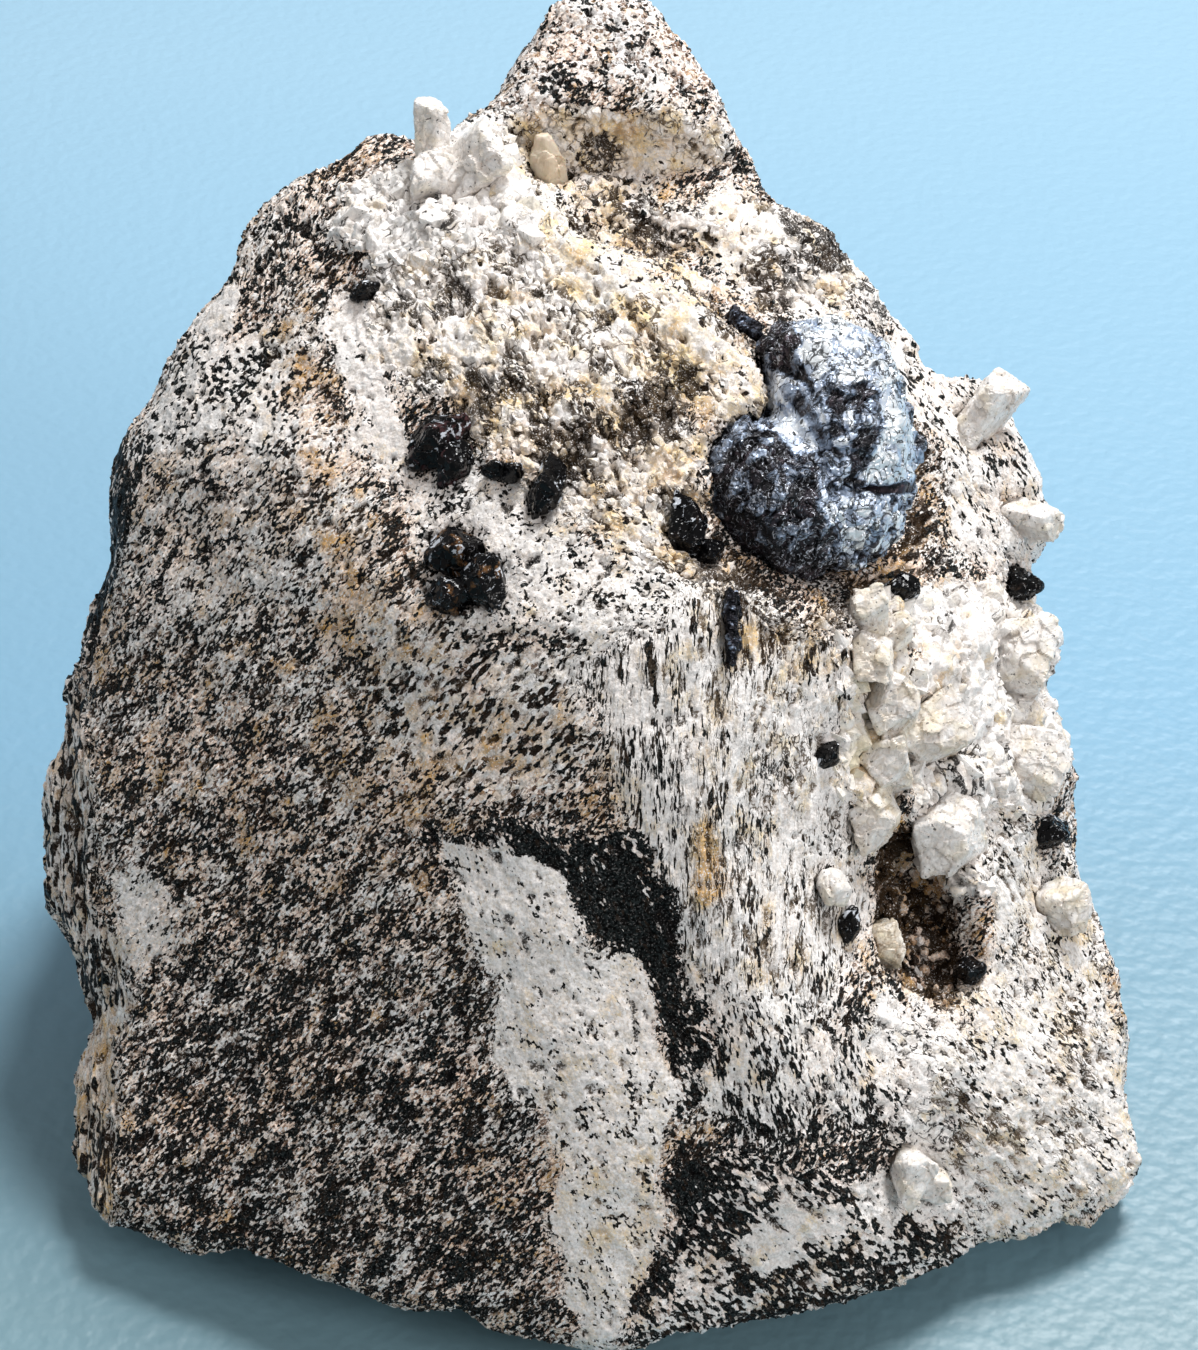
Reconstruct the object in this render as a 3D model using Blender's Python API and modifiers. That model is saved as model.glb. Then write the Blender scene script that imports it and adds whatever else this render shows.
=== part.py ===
"""A hand specimen of hematite with magnetite in banded gneiss, standing on its broken base.

The block is a chunk of foliated gneiss with quartz down its right side. A metallic hematite
nodule sits in a seat under the summit, glossy black magnetite crystals stand in the front,
and white quartz stands on the crest and along the right edge.

The front of the block is drawn as a terrain seen along one line of sight: an outline and
break lines (ridges, brows, grooves) say how far across and up a point lies, and how far it
stands towards the eye, all in millimetres. Objects are in metres, +Z up, with the origin
on the middle of the resting face.
"""

import itertools
import math
import random

import bmesh
import bpy
from mathutils import Matrix, Vector, noise
from mathutils.bvhtree import BVHTree
from mathutils.geometry import delaunay_2d_cdt

MM = 0.001

# The line of sight that the front is drawn along, in mm.
SIGHT_TILT = math.radians(40)
EYE_DISTANCE = 280.0
SIGHT_CENTRE = Vector((0.0, 0.0, 40.0))
RIGHT = Vector((1, 0, 0))
UPWARD = Vector((0, math.sin(SIGHT_TILT), math.cos(SIGHT_TILT)))
AHEAD = Vector((0, math.cos(SIGHT_TILT), -math.sin(SIGHT_TILT)))
EYE = SIGHT_CENTRE - AHEAD * EYE_DISTANCE
PICTURE_FRAME = Matrix((RIGHT, UPWARD, -AHEAD)).transposed().to_4x4()

# The uncut block runs this far back from its outline, and is this much narrower there.
RUN_BACK = 120.0
BACK_SCALE = 0.82

# The rough surface, in mm: the lattice that it is sampled on, chips with an edge round each,
# ledges along the foliation that waver over a longer distance, and grain.
LATTICE = 1.1
CHIP_SIZE = 9.0
CHIP_RISE = 2.2
CHIP_EDGE = 0.45
LEDGE_SPACING = 6.0
LEDGE_RISE = 1.2
LEDGE_WAVER = 0.7
LEDGE_WAVELENGTH = 16.0
GRAIN_SIZE = 3.2
GRAIN_RISE = 0.55
FRONT_CALM = 0.42
FOLIATION = Vector((0.93, 0.25, 0.28)).normalized()
MATRIX_TRIANGLES = 5500

# The rock starts this much too deep in mm, and is cut flat at the base after roughening.
BASE_ALLOWANCE = 1.2

# Crystals keep this far from the rock round them, and the nodule's seat is a little wider.
GAP = 0.35
SEAT_GAP = 0.45

# Points nearer than these many mm are one: after a cut, on a cutting plane, in the relief.
WELD = 0.02
ON_PLANE = 1e-4
ON_LINE = 1e-5

# Silhouette, anticlockwise from the summit: (across, up, towards the eye).
OUTLINE = [
    (-0.5, 53, -12), (-4, 52, -12), (-6, 48.5, -12), (-7.5, 45.5, -11), (-10, 43.5, -10),
    (-11.5, 41.5, -8), (-15.5, 42, -6), (-19, 41.5, -6), (-20, 40, -6), (-22.5, 38.5, -6),
    (-25.5, 36.5, -7), (-27.5, 33.5, -7), (-29.5, 30, -7), (-31.5, 26.5, -7),
    (-33.5, 23.5, -8), (-35.5, 21, -8), (-37, 18, -9), (-37.5, 13.5, -9), (-38.5, 8, -10),
    (-39, 4, -10), (-40.5, -0.5, -11), (-42, -5, -12), (-43, -8.5, -13),
    (-42.5, -12.5, -13), (-43, -17, -13), (-41.5, -20, -12), (-40.5, -23, -12),
    (-39, -27, -11), (-40.5, -32, -9), (-40.5, -37.5, -8), (-38.5, -41, -5),
    (-38, -42.5, -4), (-34.5, -44, -2), (-25.5, -45, 2), (-21.5, -47, 3), (-14, -49, 5),
    (-7.5, -50.5, 6), (-4, -52, 7), (0, -52.5, 8), (3.5, -52, 8), (8, -51, 7),
    (14.5, -49.5, 5), (20, -48.5, 3), (25.5, -46.5, 1), (30, -44, -2),
    (35, -43, -4), (40, -41.5, -6), (42.5, -38, -8), (41, -32, -9), (41.5, -27, -10),
    (38.5, -21, -10), (38.5, -18.5, -10), (37, -13.5, -11), (36.5, -9, -11), (35, -2, -12),
    (35.5, 4, -13), (33, 6, -14), (33.5, 9, -15), (36, 11.5, -15), (34, 16, -15),
    (33, 19, -15), (31, 22.5, -15), (26, 23.5, -15), (22, 28, -15),
    (17.5, 34.5, -14), (12, 38, -13), (12, 40.5, -13), (9.5, 45, -12), (5.5, 50.5, -12),
    (2.5, 53, -12),
]

# Break lines of the front, each a polyline of (across, up, towards the eye).
BREAK_LINES = {
    "summit_brow": [(-6.5, 44, -9), (-3, 44, -8), (1.5, 43.5, -7.5), (7, 42, -8), (10, 40.5, -11)],
    "summit_recess": [(-7, 41.5, -11), (-3, 41, -11.5), (3, 40.5, -12), (9, 39.5, -12)],
    "ledge_back": [(-4.5, 39, -12), (0, 38.5, -12), (6, 38, -12), (10, 37, -12)],
    "ledge_front": [(-3, 37, -9), (1.5, 36, -8), (8, 35, -8), (14, 32, -8), (18.5, 28, -9),
                    (22, 24, -10)],
    "groove": [(-7.5, 40.5, -10), (-4, 36.5, -10), (0, 33.5, -10), (4.5, 32, -10), (8.5, 30, -9),
               (11.5, 27.5, -8), (14.5, 27, -7)],
    "ridge": [(-10, 41, -3), (-7, 39.5, -2), (-4, 35.5, 0), (0, 32.5, 1), (4.5, 31, 2.5),
              (8, 29, 4), (10.5, 26, 5), (12, 22.5, 6)],
    "crest": [(-20.5, 37.5, -4), (-15.5, 39.5, -3)],
    "crest_edge": [(-20.5, 33.5, -2), (-17.5, 29, 1), (-16, 23.5, 4), (-15, 19.5, 6)],
    "sugar_slope": [(-11.5, 33.5, 1), (-6, 26.5, 5), (-0.5, 19.5, 9), (3, 13.5, 12)],
    "nodule_seat": [(13.5, 22.5, 2), (18.5, 26, -6), (23.5, 22.5, -9), (25, 16, -8), (24.5, 9, -5),
                    (19.5, 6.5, 4), (13, 6.5, 9), (9, 9, 11), (7, 15, 10), (9.5, 20, 8)],
    "seat_floor": [(14.5, 17.5, 0), (19.5, 16, -4), (15.5, 12, 2)],
    "brow": [(-30.5, 19.5, -1), (-23, 16, 5), (-16, 9, 9.5), (-13, 4.5, 13), (-3, 3.5, 15.5),
             (4.5, 4.5, 15.5), (9.5, 5.5, 14.5)],
    "brow_right": [(14.5, 4.5, 11.5), (19.5, 5, 8)],
    "shoulder_face": [(28, 19.5, -11), (29.5, 15, -9.5), (31.5, 10.5, -10.5)],
    "shoulder_under": [(26, 6.5, -3.5), (29.5, 6.5, -7)],
    "left_edge": [(-34, 18, -4), (-36.5, 9, -5.5), (-37.5, 2, -5.5), (-40, -6.5, -7),
                  (-38.5, -13.5, -5), (-37.5, -19.5, -4.5), (-36, -25, -4), (-37.5, -31, -3.5),
                  (-38.5, -37.5, -3.5)],
    "left_face": [(-26, 6, 3.5), (-27, -6.5, 3), (-26, -17.5, 2.5), (-27, -29.5, 2),
                  (-27.5, -39, 1.5)],
    "left_mid": [(-15.5, -3.5, 9.5), (-15.5, -13.5, 9), (-16, -25, 8), (-17, -36.5, 6.5)],
    "vein": [(-7.5, -14, 12.5), (-3, -22, 12.5), (0, -32.5, 12), (0, -43.5, 10)],
    "dark_band": [(-3, -9.5, 14), (3, -17.5, 12.5), (4.5, -23.5, 11), (7, -31, 10.5),
                  (7, -37.5, 10), (4, -45, 9)],
    "spine": [(3, -3.5, 15.8), (8, -11, 15), (9.5, -19.5, 14), (12.5, -29, 12.5),
              (14.5, -37.5, 10)],
    "quartz_face": [(21, -0.5, 5.5), (21.5, -6.5, 4), (20, -12.5, 4.5), (19.5, -19, 5.5),
                    (21.5, -24, 5.5)],
    "quartz_right": [(28, 2.5, -1.5), (29.5, -5, -2), (31, -12.5, -3.5), (33, -19.5, -5)],
    "cavity": [(23.5, -14, -5.5), (25, -19, -7), (25.5, -22.5, -5)],
    "cavity_right": [(26.5, -11, 1), (29, -16, 0.5), (29.5, -21, 0)],
    "lower_right": [(23.5, -26, 4), (28, -29.5, 3), (34, -35, -1), (37.5, -39, -3.5)],
    "lower_mid": [(20, -34, 6.5), (23, -41, 3.5)],
    "left_shoulder": [(-26.5, 29, -3), (-23, 25, 0), (-20.5, 19, 3.5)],
    "mid_slope": [(-10, 19, 8), (-6, 12, 12), (-3, 8, 14)],
}

# Fracture faces that end the block behind and at the sides: which way each faces, and how
# far it stands clear of the front in mm.
FRACTURES = {
    "back_upper": ((0.06, 0.99, 0.03), 0.8),
    "back_foot": ((-0.14, 0.90, -0.42), 24.0),
    "back_left": ((-0.66, 0.74, 0.12), 1.0),
    "back_right": ((0.74, 0.66, 0.06), 1.0),
    "top_left": ((-0.46, 0.62, 0.64), 1.0),
    "top_right": ((0.52, 0.58, 0.62), 1.0),
    "foot_left": ((-0.95, 0.10, -0.30), 0.5),
    "foot_right": ((0.93, 0.20, -0.30), 0.5),
}

# The hematite nodule: overlapping lobes, each its middle (across, up, towards) and its half
# sizes the same ways round, and how far it is turned in the picture plane in degrees.
NODULE_LOBES = [
    ((18.4, 17.7, 1.0), (5.8, 9.6, 7.6), 4),
    ((13.2, 13.4, 4.6), (4.6, 6.6, 6.0), 32),
    ((18.6, 12.6, 1.6), (4.8, 4.0, 6.8), 0),
    ((15.4, 24.4, 0.4), (2.8, 2.6, 5.2), 0),
]
NODULE_LATTICE = 0.75
LEAF_SIZE = 3.6
LEAF_RISE = 1.0
LEAF_EDGE = 0.4
HACKLE_SIZE = 2.2
HACKLE_RISE = 0.45
NODULE_TRIANGLES = 760
# The parting that shows as a slot across its right side: middle, half sizes.
NODULE_SLOT = ((21.4, 14.3, 7.0), (2.2, 0.35, 1.7))

# Crystals. Each grows from the rock at (across, up), leans along (across, up, towards), and
# stands "out" mm proud of it and "root" mm deep in it, with its width and thickness in mm.
# "spin" turns it about its own axis in degrees, and a crystal of several members is fused.
HEMATITE = {
    "hematite_flake_upper": [
        dict(at=(11.4, 26.6), lean=(0.1, 0.3, 1), out=1.0, root=1.8, wide=3.6, thick=1.6,
             spin=-42, habit="block", seed=51),
    ],
    "hematite_tail": [
        dict(at=(10.2, 4.0), lean=(0, 0.1, 1), out=0.6, root=1.6, wide=1.1, thick=5.4,
             spin=4, habit="block", seed=52),
    ],
}

MAGNETITE = {
    "magnetite_upper": [
        dict(at=(-12.4, 18.0), lean=(-0.2, 0.3, 1), out=1.9, root=2.6, wide=6.4, thick=4.4,
             spin=38, habit="octahedron", seed=3),
        dict(at=(-11.0, 16.2), lean=(0.3, -0.2, 1), out=1.6, root=2.2, wide=4.2, thick=3.2,
             spin=60, habit="octahedron", seed=4),
    ],
    "magnetite_lower": [
        dict(at=(-11.0, 9.6), lean=(0, 0.3, 1), out=1.6, root=2.6, wide=4.8, thick=4.2,
             spin=15, habit="octahedron", seed=5),
        dict(at=(-9.0, 7.2), lean=(0.4, 0.1, 1), out=2.1, root=2.4, wide=3.6, thick=2.8,
             spin=70, habit="block", seed=6),
        dict(at=(-11.6, 6.0), lean=(-0.2, -0.2, 1), out=1.5, root=2.2, wide=4.2, thick=3.4,
             spin=20, habit="octahedron", seed=7),
    ],
    "magnetite_blade": [
        dict(at=(-4.2, 13.8), lean=(0.1, -0.5, 1), out=1.3, root=2.0, wide=3.8, thick=2.1,
             spin=62, habit="block", seed=8),
    ],
    "magnetite_pair": [
        dict(at=(-7.9, 15.9), lean=(0.1, 0.4, 1), out=1.0, root=1.7, wide=2.4, thick=1.8,
             spin=10, habit="octahedron", seed=9),
        dict(at=(-6.7, 15.7), lean=(0.2, 0.3, 1), out=0.9, root=1.7, wide=2.2, thick=1.6,
             spin=40, habit="octahedron", seed=10),
    ],
    "magnetite_grain_shoulder": [
        dict(at=(-18.0, 29.6), lean=(0, 0.2, 1), out=1.1, root=1.7, wide=2.6, thick=1.8,
             spin=25, habit="octahedron", seed=11),
    ],
    "magnetite_seat_left": [
        dict(at=(6.9, 11.2), lean=(0.1, 0.3, 1), out=1.2, root=2.0, wide=3.4, thick=2.6,
             spin=70, habit="block", seed=12),
        dict(at=(8.6, 9.4), lean=(0.2, -0.2, 1), out=1.0, root=1.8, wide=2.8, thick=2.2,
             spin=30, habit="octahedron", seed=13),
    ],
    "magnetite_seat_right": [
        dict(at=(23.2, 6.6), lean=(0.3, 0.5, 1), out=1.3, root=1.8, wide=2.6, thick=1.9,
             spin=15, habit="block", seed=14),
    ],
    "magnetite_shoulder_hexagon": [
        dict(at=(32.4, 7.0), lean=(1, -0.1, 0.6), out=2.0, root=2.4, wide=2.9, thick=2.6,
             spin=0, habit="prism", seed=15),
    ],
    "magnetite_rim_upper": [
        dict(at=(34.6, -12.2), lean=(1, -0.2, 0.9), out=1.7, root=2.4, wide=4.6, thick=3.0,
             spin=20, habit="octahedron", seed=16),
    ],
    "magnetite_spine_upper": [
        dict(at=(17.7, -6.1), lean=(0.2, 0.1, 1), out=0.9, root=1.7, wide=2.6, thick=1.8,
             spin=55, habit="octahedron", seed=17),
    ],
    "magnetite_spine_lower": [
        dict(at=(19.4, -19.3), lean=(0.4, -0.1, 1), out=1.0, root=1.7, wide=3.2, thick=1.8,
             spin=75, habit="octahedron", seed=18),
    ],
    "magnetite_cavity": [
        dict(at=(28.4, -22.6), lean=(-0.3, 0.3, 1), out=1.1, root=1.9, wide=2.8, thick=2.4,
             spin=5, habit="octahedron", seed=19),
    ],
}

QUARTZ = {
    "quartz_crest_group": [
        dict(at=(-12.6, 40.2), lean=(-0.06, 1, 0.35), out=4.2, root=4.5, wide=2.9, thick=2.6,
             spin=12, habit="stub", seed=21),
        dict(at=(-9.4, 39.6), lean=(0.5, 0.9, 0.7), out=2.9, root=3.2, wide=5.0, thick=3.4,
             spin=80, habit="block", seed=22),
        dict(at=(-12.6, 38.4), lean=(-0.2, 0.6, 1), out=1.9, root=2.6, wide=4.4, thick=3.2,
             spin=30, habit="block", seed=23),
    ],
    "feldspar_shard": [
        dict(at=(-3.9, 38.6), lean=(-0.15, 0.9, 0.6), out=3.4, root=2.6, wide=3.0, thick=2.0,
             spin=20, habit="prism", seed=24),
    ],
    "quartz_spur_upper": [
        dict(at=(29.6, 20.2), lean=(0.55, 0.9, 0.5), out=3.0, root=3.4, wide=4.4, thick=3.0,
             spin=20, habit="block", seed=25),
    ],
    "quartz_spur_lower": [
        dict(at=(33.6, 12.0), lean=(1, -0.1, 0.5), out=2.2, root=3.0, wide=3.2, thick=2.6,
             spin=35, habit="block", seed=26),
    ],
    "quartz_vein": [
        dict(at=(20.6, 5.0), lean=(-0.1, 0.5, 1), out=1.6, root=2.4, wide=3.2, thick=2.4,
             spin=10, habit="block", seed=27),
        dict(at=(22.9, 3.4), lean=(0.3, 0.4, 1), out=2.1, root=2.6, wide=3.4, thick=2.6,
             spin=50, habit="prism", seed=28),
        dict(at=(20.9, 1.4), lean=(-0.2, 0, 1), out=1.7, root=2.5, wide=3.0, thick=3.6,
             spin=5, habit="block", seed=29),
        dict(at=(22.6, -1.8), lean=(0, 0.2, 1), out=1.8, root=2.6, wide=3.8, thick=4.4,
             spin=15, habit="block", seed=30),
        dict(at=(25.6, -4.6), lean=(0.2, 0.2, 1), out=1.5, root=2.6, wide=4.8, thick=4.4,
             spin=35, habit="block", seed=31),
        dict(at=(22.0, -6.6), lean=(-0.3, 0, 1), out=1.6, root=2.4, wide=3.6, thick=4.2,
             spin=5, habit="block", seed=32),
        dict(at=(21.0, -11.2), lean=(-0.3, -0.2, 1), out=1.4, root=2.4, wide=3.4, thick=4.0,
             spin=20, habit="block", seed=33),
    ],
    "quartz_cavity_lip": [
        dict(at=(26.6, -12.6), lean=(-0.2, -0.5, 1), out=1.7, root=2.4, wide=5.0, thick=5.6,
             spin=10, habit="block", seed=34),
    ],
    "quartz_rim_block": [
        dict(at=(33.0, -6.6), lean=(0.7, 0, 1), out=2.6, root=3.4, wide=4.6, thick=6.2,
             spin=5, habit="block", seed=35),
    ],
    "quartz_rim_upper": [
        dict(at=(32.6, 1.4), lean=(0.6, 0.2, 1), out=2.3, root=3.2, wide=4.4, thick=6.2,
             spin=8, habit="block", seed=36),
    ],
    "quartz_rim_foot": [
        dict(at=(36.0, -18.0), lean=(0.8, 0, 0.8), out=1.7, root=2.8, wide=3.0, thick=4.2,
             spin=20, habit="block", seed=37),
    ],
    "quartz_cavity_tablet": [
        dict(at=(22.0, -20.8), lean=(0.3, 0.1, 1), out=1.8, root=2.4, wide=2.5, thick=3.9,
             spin=18, habit="block", seed=38),
    ],
    "quartz_white_grain": [
        dict(at=(18.0, -16.3), lean=(-0.1, 0.1, 1), out=1.3, root=1.9, wide=2.4, thick=3.0,
             spin=30, habit="prism", seed=39),
    ],
    "quartz_lower_group": [
        dict(at=(23.9, -38.0), lean=(0.2, -0.3, 1), out=1.5, root=2.3, wide=3.2, thick=2.8,
             spin=45, habit="block", seed=40),
        dict(at=(25.6, -39.4), lean=(0.3, -0.5, 1), out=1.3, root=2.2, wide=2.6, thick=2.4,
             spin=10, habit="block", seed=41),
    ],
}


# Crystal faces, in halves of the crystal's size: how far sides stand from the axis, the
# slope and place of a prism's point, an octahedron's faces, and a block's tilts and chips.
SIDE_REACH = (0.84, 0.97)
POINT_RISE = 0.85
POINT_REACH = (0.80, 0.92)
STUB_BREAKS = [(Vector((0.12, -0.08, 1)), 0.93), (Vector((0.75, 0.2, 0.6)), 0.98)]
OCTAHEDRON_REACH = (0.62, 0.74)
BLOCK_TILT = 0.28
BLOCK_CHIPS = 3


def sighted(across, up, towards):
    """The world point, in mm, seen at (across, up) and standing that far towards the eye."""
    ray = RIGHT * across + UPWARD * up + AHEAD * EYE_DISTANCE
    return EYE + ray * ((EYE_DISTANCE - towards) / EYE_DISTANCE)


def seen_direction(across, up, towards):
    """A direction given across, up and towards the eye, in world axes."""
    return (RIGHT * across + UPWARD * up - AHEAD * towards).normalized()


def object_from(name, bm, collection):
    """A new object in metres from a mesh in millimetres."""
    bmesh.ops.scale(bm, vec=(MM, MM, MM), verts=bm.verts)
    mesh = bpy.data.meshes.new(name)
    bm.to_mesh(mesh)
    bm.free()
    made = bpy.data.objects.new(name, mesh)
    collection.objects.link(made)
    return made


def as_helper(helper):
    helper.hide_render = True
    helper.display_type = "WIRE"
    return helper


def boolean(target, operation, cutter):
    cut = target.modifiers.new(operation.title(), "BOOLEAN")
    cut.operation = operation
    cut.object = cutter


def baked(source):
    """The object's mesh with its modifiers applied, in mm. The object itself is removed."""
    evaluated = source.evaluated_get(bpy.context.evaluated_depsgraph_get())
    mesh = bpy.data.meshes.new_from_object(evaluated)
    bm = bmesh.new()
    bm.from_mesh(mesh)
    bmesh.ops.scale(bm, vec=(1 / MM, 1 / MM, 1 / MM), verts=bm.verts)
    bpy.data.objects.remove(source)
    bpy.data.meshes.remove(mesh)
    return bm


def simplified(bm, triangles, helpers):
    """The mesh collapsed to about that many triangles."""
    bmesh.ops.triangulate(bm, faces=bm.faces)
    ratio = triangles / len(bm.faces)
    dense = object_from("dense", bm, helpers)
    collapse = dense.modifiers.new("Collapse", "DECIMATE")
    collapse.ratio = ratio
    collapse.use_collapse_triangulate = True
    return baked(dense)


def keep_largest(bm):
    """Removes every loose chip but the largest body."""
    left = set(bm.verts)
    bodies = []
    while left:
        body = {left.pop()}
        reached = list(body)
        while reached:
            vert = reached.pop()
            for edge in vert.link_edges:
                other = edge.other_vert(vert)
                if other in left:
                    left.remove(other)
                    body.add(other)
                    reached.append(other)
        bodies.append(body)
    bodies.sort(key=len)
    for body in bodies[:-1]:
        bmesh.ops.delete(bm, geom=list(body), context="VERTS")


def trim(bm, point, outward):
    """Cuts a closed mesh with a plane, drops what lies outward of it, and closes the cut."""
    everything = bm.verts[:] + bm.edges[:] + bm.faces[:]
    cut = bmesh.ops.bisect_plane(
        bm, geom=everything, dist=ON_PLANE, plane_co=point, plane_no=outward, clear_outer=True,
    )
    rim = [part for part in cut["geom_cut"] if isinstance(part, bmesh.types.BMEdge)]
    if rim:
        bmesh.ops.edgenet_fill(bm, edges=rim)


def front_relief():
    """The break lines triangulated inside the outline: points, faces, and each one's source."""
    corners = list(OUTLINE)
    rim = list(range(len(OUTLINE)))
    edges = []
    for line in BREAK_LINES.values():
        first = len(corners)
        corners += line
        edges += [(i, i + 1) for i in range(first, len(corners) - 1)]
    flat = [Vector(corner[:2]) for corner in corners]
    made, _, faces, sources, _, _ = delaunay_2d_cdt(flat, edges, [rim], 1, ON_LINE)
    points = [sighted(p.x, p.y, corners[source[0]][2]) for p, source in zip(made, sources)]
    return points, faces, [source[0] for source in sources]


def uncut_block():
    """The front relief with walls that run back along the line of sight to a cap."""
    points, faces, source = front_relief()
    bm = bmesh.new()
    front = [bm.verts.new(point) for point in points]
    for face in faces:
        bm.faces.new([front[i] for i in face])
    rim = [front[source.index(i)] for i in range(len(OUTLINE))]
    behind = []
    for vert in rim:
        offset = vert.co - SIGHT_CENTRE
        place = SIGHT_CENTRE + RIGHT * offset.dot(RIGHT) * BACK_SCALE
        place += UPWARD * offset.dot(UPWARD) * BACK_SCALE + AHEAD * RUN_BACK
        behind.append(bm.verts.new(place))
    for i in range(len(rim)):
        bm.faces.new([rim[i - 1], behind[i - 1], behind[i], rim[i]])
    bm.faces.new(behind)
    bmesh.ops.triangulate(bm, faces=bm.faces)
    bmesh.ops.recalc_face_normals(bm, faces=bm.faces)
    return bm


def fracture_envelope():
    """A large cube cut back to the fracture faces and the base."""
    points = front_relief()[0]
    bm = bmesh.new()
    bmesh.ops.create_cube(bm, size=400)
    trim(bm, (0, 0, -BASE_ALLOWANCE), (0, 0, -1))
    for facing, clearance in FRACTURES.values():
        outward = Vector(facing).normalized()
        reach = max(point.dot(outward) for point in points)
        trim(bm, outward * (reach + clearance), outward)
    bmesh.ops.recalc_face_normals(bm, faces=bm.faces)
    return bm


def roughness_at(point, normal):
    """How far the broken surface stands proud at a point: chips, ledges of foliation, grain.

    Chips and ledges are lower on the front, whose large forms are drawn already.
    """
    frontal = max(0.0, -normal.dot(AHEAD))
    calm = max(FRONT_CALM, 1 - frontal)
    near = noise.voronoi(point / CHIP_SIZE)[0]
    chip = min(near[1] - near[0], CHIP_EDGE) - CHIP_EDGE / 2
    waver = LEDGE_WAVER * noise.noise(point / LEDGE_WAVELENGTH)
    layer = point.dot(FOLIATION) / LEDGE_SPACING + waver
    ledge = abs(layer % 1 - 0.5) - 0.25
    grain = noise.fractal(point / GRAIN_SIZE, 0.8, 2.0, 2)
    return calm * (CHIP_RISE * chip + LEDGE_RISE * ledge) + GRAIN_RISE * grain


def push_out(bm, distance_at):
    """Moves each corner along its normal, by what distance_at gives for its place and normal."""
    bm.normal_update()
    moves = [vert.normal * distance_at(vert.co, vert.normal) for vert in bm.verts]
    for vert, move in zip(bm.verts, moves):
        vert.co += move
    return bm


def evened(whole, lattice):
    """The object's mesh sampled afresh on a lattice of that many mm."""
    even = whole.modifiers.new("Even", "REMESH")
    even.mode = "VOXEL"
    even.voxel_size = lattice * MM
    return baked(whole)


def rough_rock(helpers):
    """The block broken out of the raw form, roughened, thinned out and cut flat below."""
    block = object_from("block", uncut_block(), helpers)
    envelope = object_from("envelope", fracture_envelope(), helpers)
    boolean(block, "INTERSECT", envelope)
    bm = evened(block, LATTICE)
    bpy.data.objects.remove(envelope)
    push_out(bm, roughness_at)
    bm = simplified(bm, MATRIX_TRIANGLES, helpers)
    trim(bm, (0, 0, 0), (0, 0, -1))
    keep_largest(bm)
    bmesh.ops.triangulate(bm, faces=bm.faces)
    bmesh.ops.recalc_face_normals(bm, faces=bm.faces)
    return bm


def crystal_faces(habit, seed):
    """The faces of a crystal of half size 1, each its outward direction and its distance."""
    chance = random.Random(seed)
    faces = [(Vector((0, 0, -1)), 1.0), (Vector((0, 0, 1)), 1.0)]
    if habit in ("prism", "stub"):
        for turn in range(6):
            angle = math.radians(60 * turn)
            side = Vector((math.cos(angle), math.sin(angle), 0))
            faces.append((side, chance.uniform(*SIDE_REACH)))
            if habit == "prism":
                faces.append((side + Vector((0, 0, POINT_RISE)), chance.uniform(*POINT_REACH)))
        if habit == "stub":
            faces += STUB_BREAKS
    elif habit == "octahedron":
        for corner in itertools.product((-1, 1), repeat=3):
            faces.append((Vector(corner), chance.uniform(*OCTAHEDRON_REACH)))
        for axis in (Vector((1, 0, 0)), Vector((0, 1, 0))):
            for way in (-1, 1):
                faces.append((axis * way, chance.uniform(*SIDE_REACH)))
    else:
        for axis in (Vector((1, 0, 0)), Vector((0, 1, 0)), Vector((0, 0, 1))):
            for way in (-1, 1):
                tilt = Vector([chance.uniform(-BLOCK_TILT, BLOCK_TILT) for _ in range(3)])
                faces.append((axis * way + tilt, chance.uniform(*SIDE_REACH)))
        for _ in range(BLOCK_CHIPS):
            across, along = chance.choice((-1, 1)), chance.choice((-1, 1))
            faces.append((Vector((across, along, chance.random())), chance.uniform(*SIDE_REACH)))
    return [(facing.normalized(), distance) for facing, distance in faces]


def crystal(member, rock, swell=0.0):
    """One crystal growing from the rock, with every face moved outwards by swell mm."""
    across, up = member["at"]
    ray = (sighted(across, up, 0) - EYE).normalized()
    foot = rock.ray_cast(EYE, ray)[0]
    axis = seen_direction(*member["lean"])
    side = axis.cross(UPWARD).normalized()
    if side.dot(RIGHT) < 0:
        side = -side
    turn = Matrix.Rotation(math.radians(member["spin"]), 4, axis)
    side = turn @ side
    other = axis.cross(side)
    length = member["out"] + member["root"]
    middle = foot + axis * (member["out"] - length / 2)
    half = Vector((member["wide"], member["thick"], length)) / 2
    bm = bmesh.new()
    bmesh.ops.create_cube(bm, size=6 * max(half))
    for facing, distance in crystal_faces(member["habit"], member["seed"]):
        narrowed = Vector([facing[k] / half[k] for k in range(3)])
        outward = narrowed.normalized()
        trim(bm, outward * (distance / narrowed.length + swell), outward)
    frame = Matrix((side, other, axis)).transposed().to_4x4()
    bmesh.ops.transform(bm, matrix=Matrix.Translation(middle) @ frame, verts=bm.verts)
    bmesh.ops.recalc_face_normals(bm, faces=bm.faces)
    return bm


def fused(name, meshes, collection):
    """Several closed meshes as one object, joined where they overlap."""
    first, *others = [object_from(name, bm, collection) for bm in meshes]
    for other in others:
        boolean(first, "UNION", other)
    bm = baked(first)
    for other in others:
        bpy.data.objects.remove(other)
    return bm


def nodule_lobe(middle, half, turn):
    bm = bmesh.new()
    bmesh.ops.create_icosphere(bm, subdivisions=3, radius=1.0)
    spun = Matrix.Rotation(math.radians(turn), 4, "Z")
    place = Matrix.Translation(sighted(*middle)) @ PICTURE_FRAME @ spun
    place = place @ Matrix.Diagonal((*half, 1))
    bmesh.ops.transform(bm, matrix=place, verts=bm.verts)
    return bm


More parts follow.
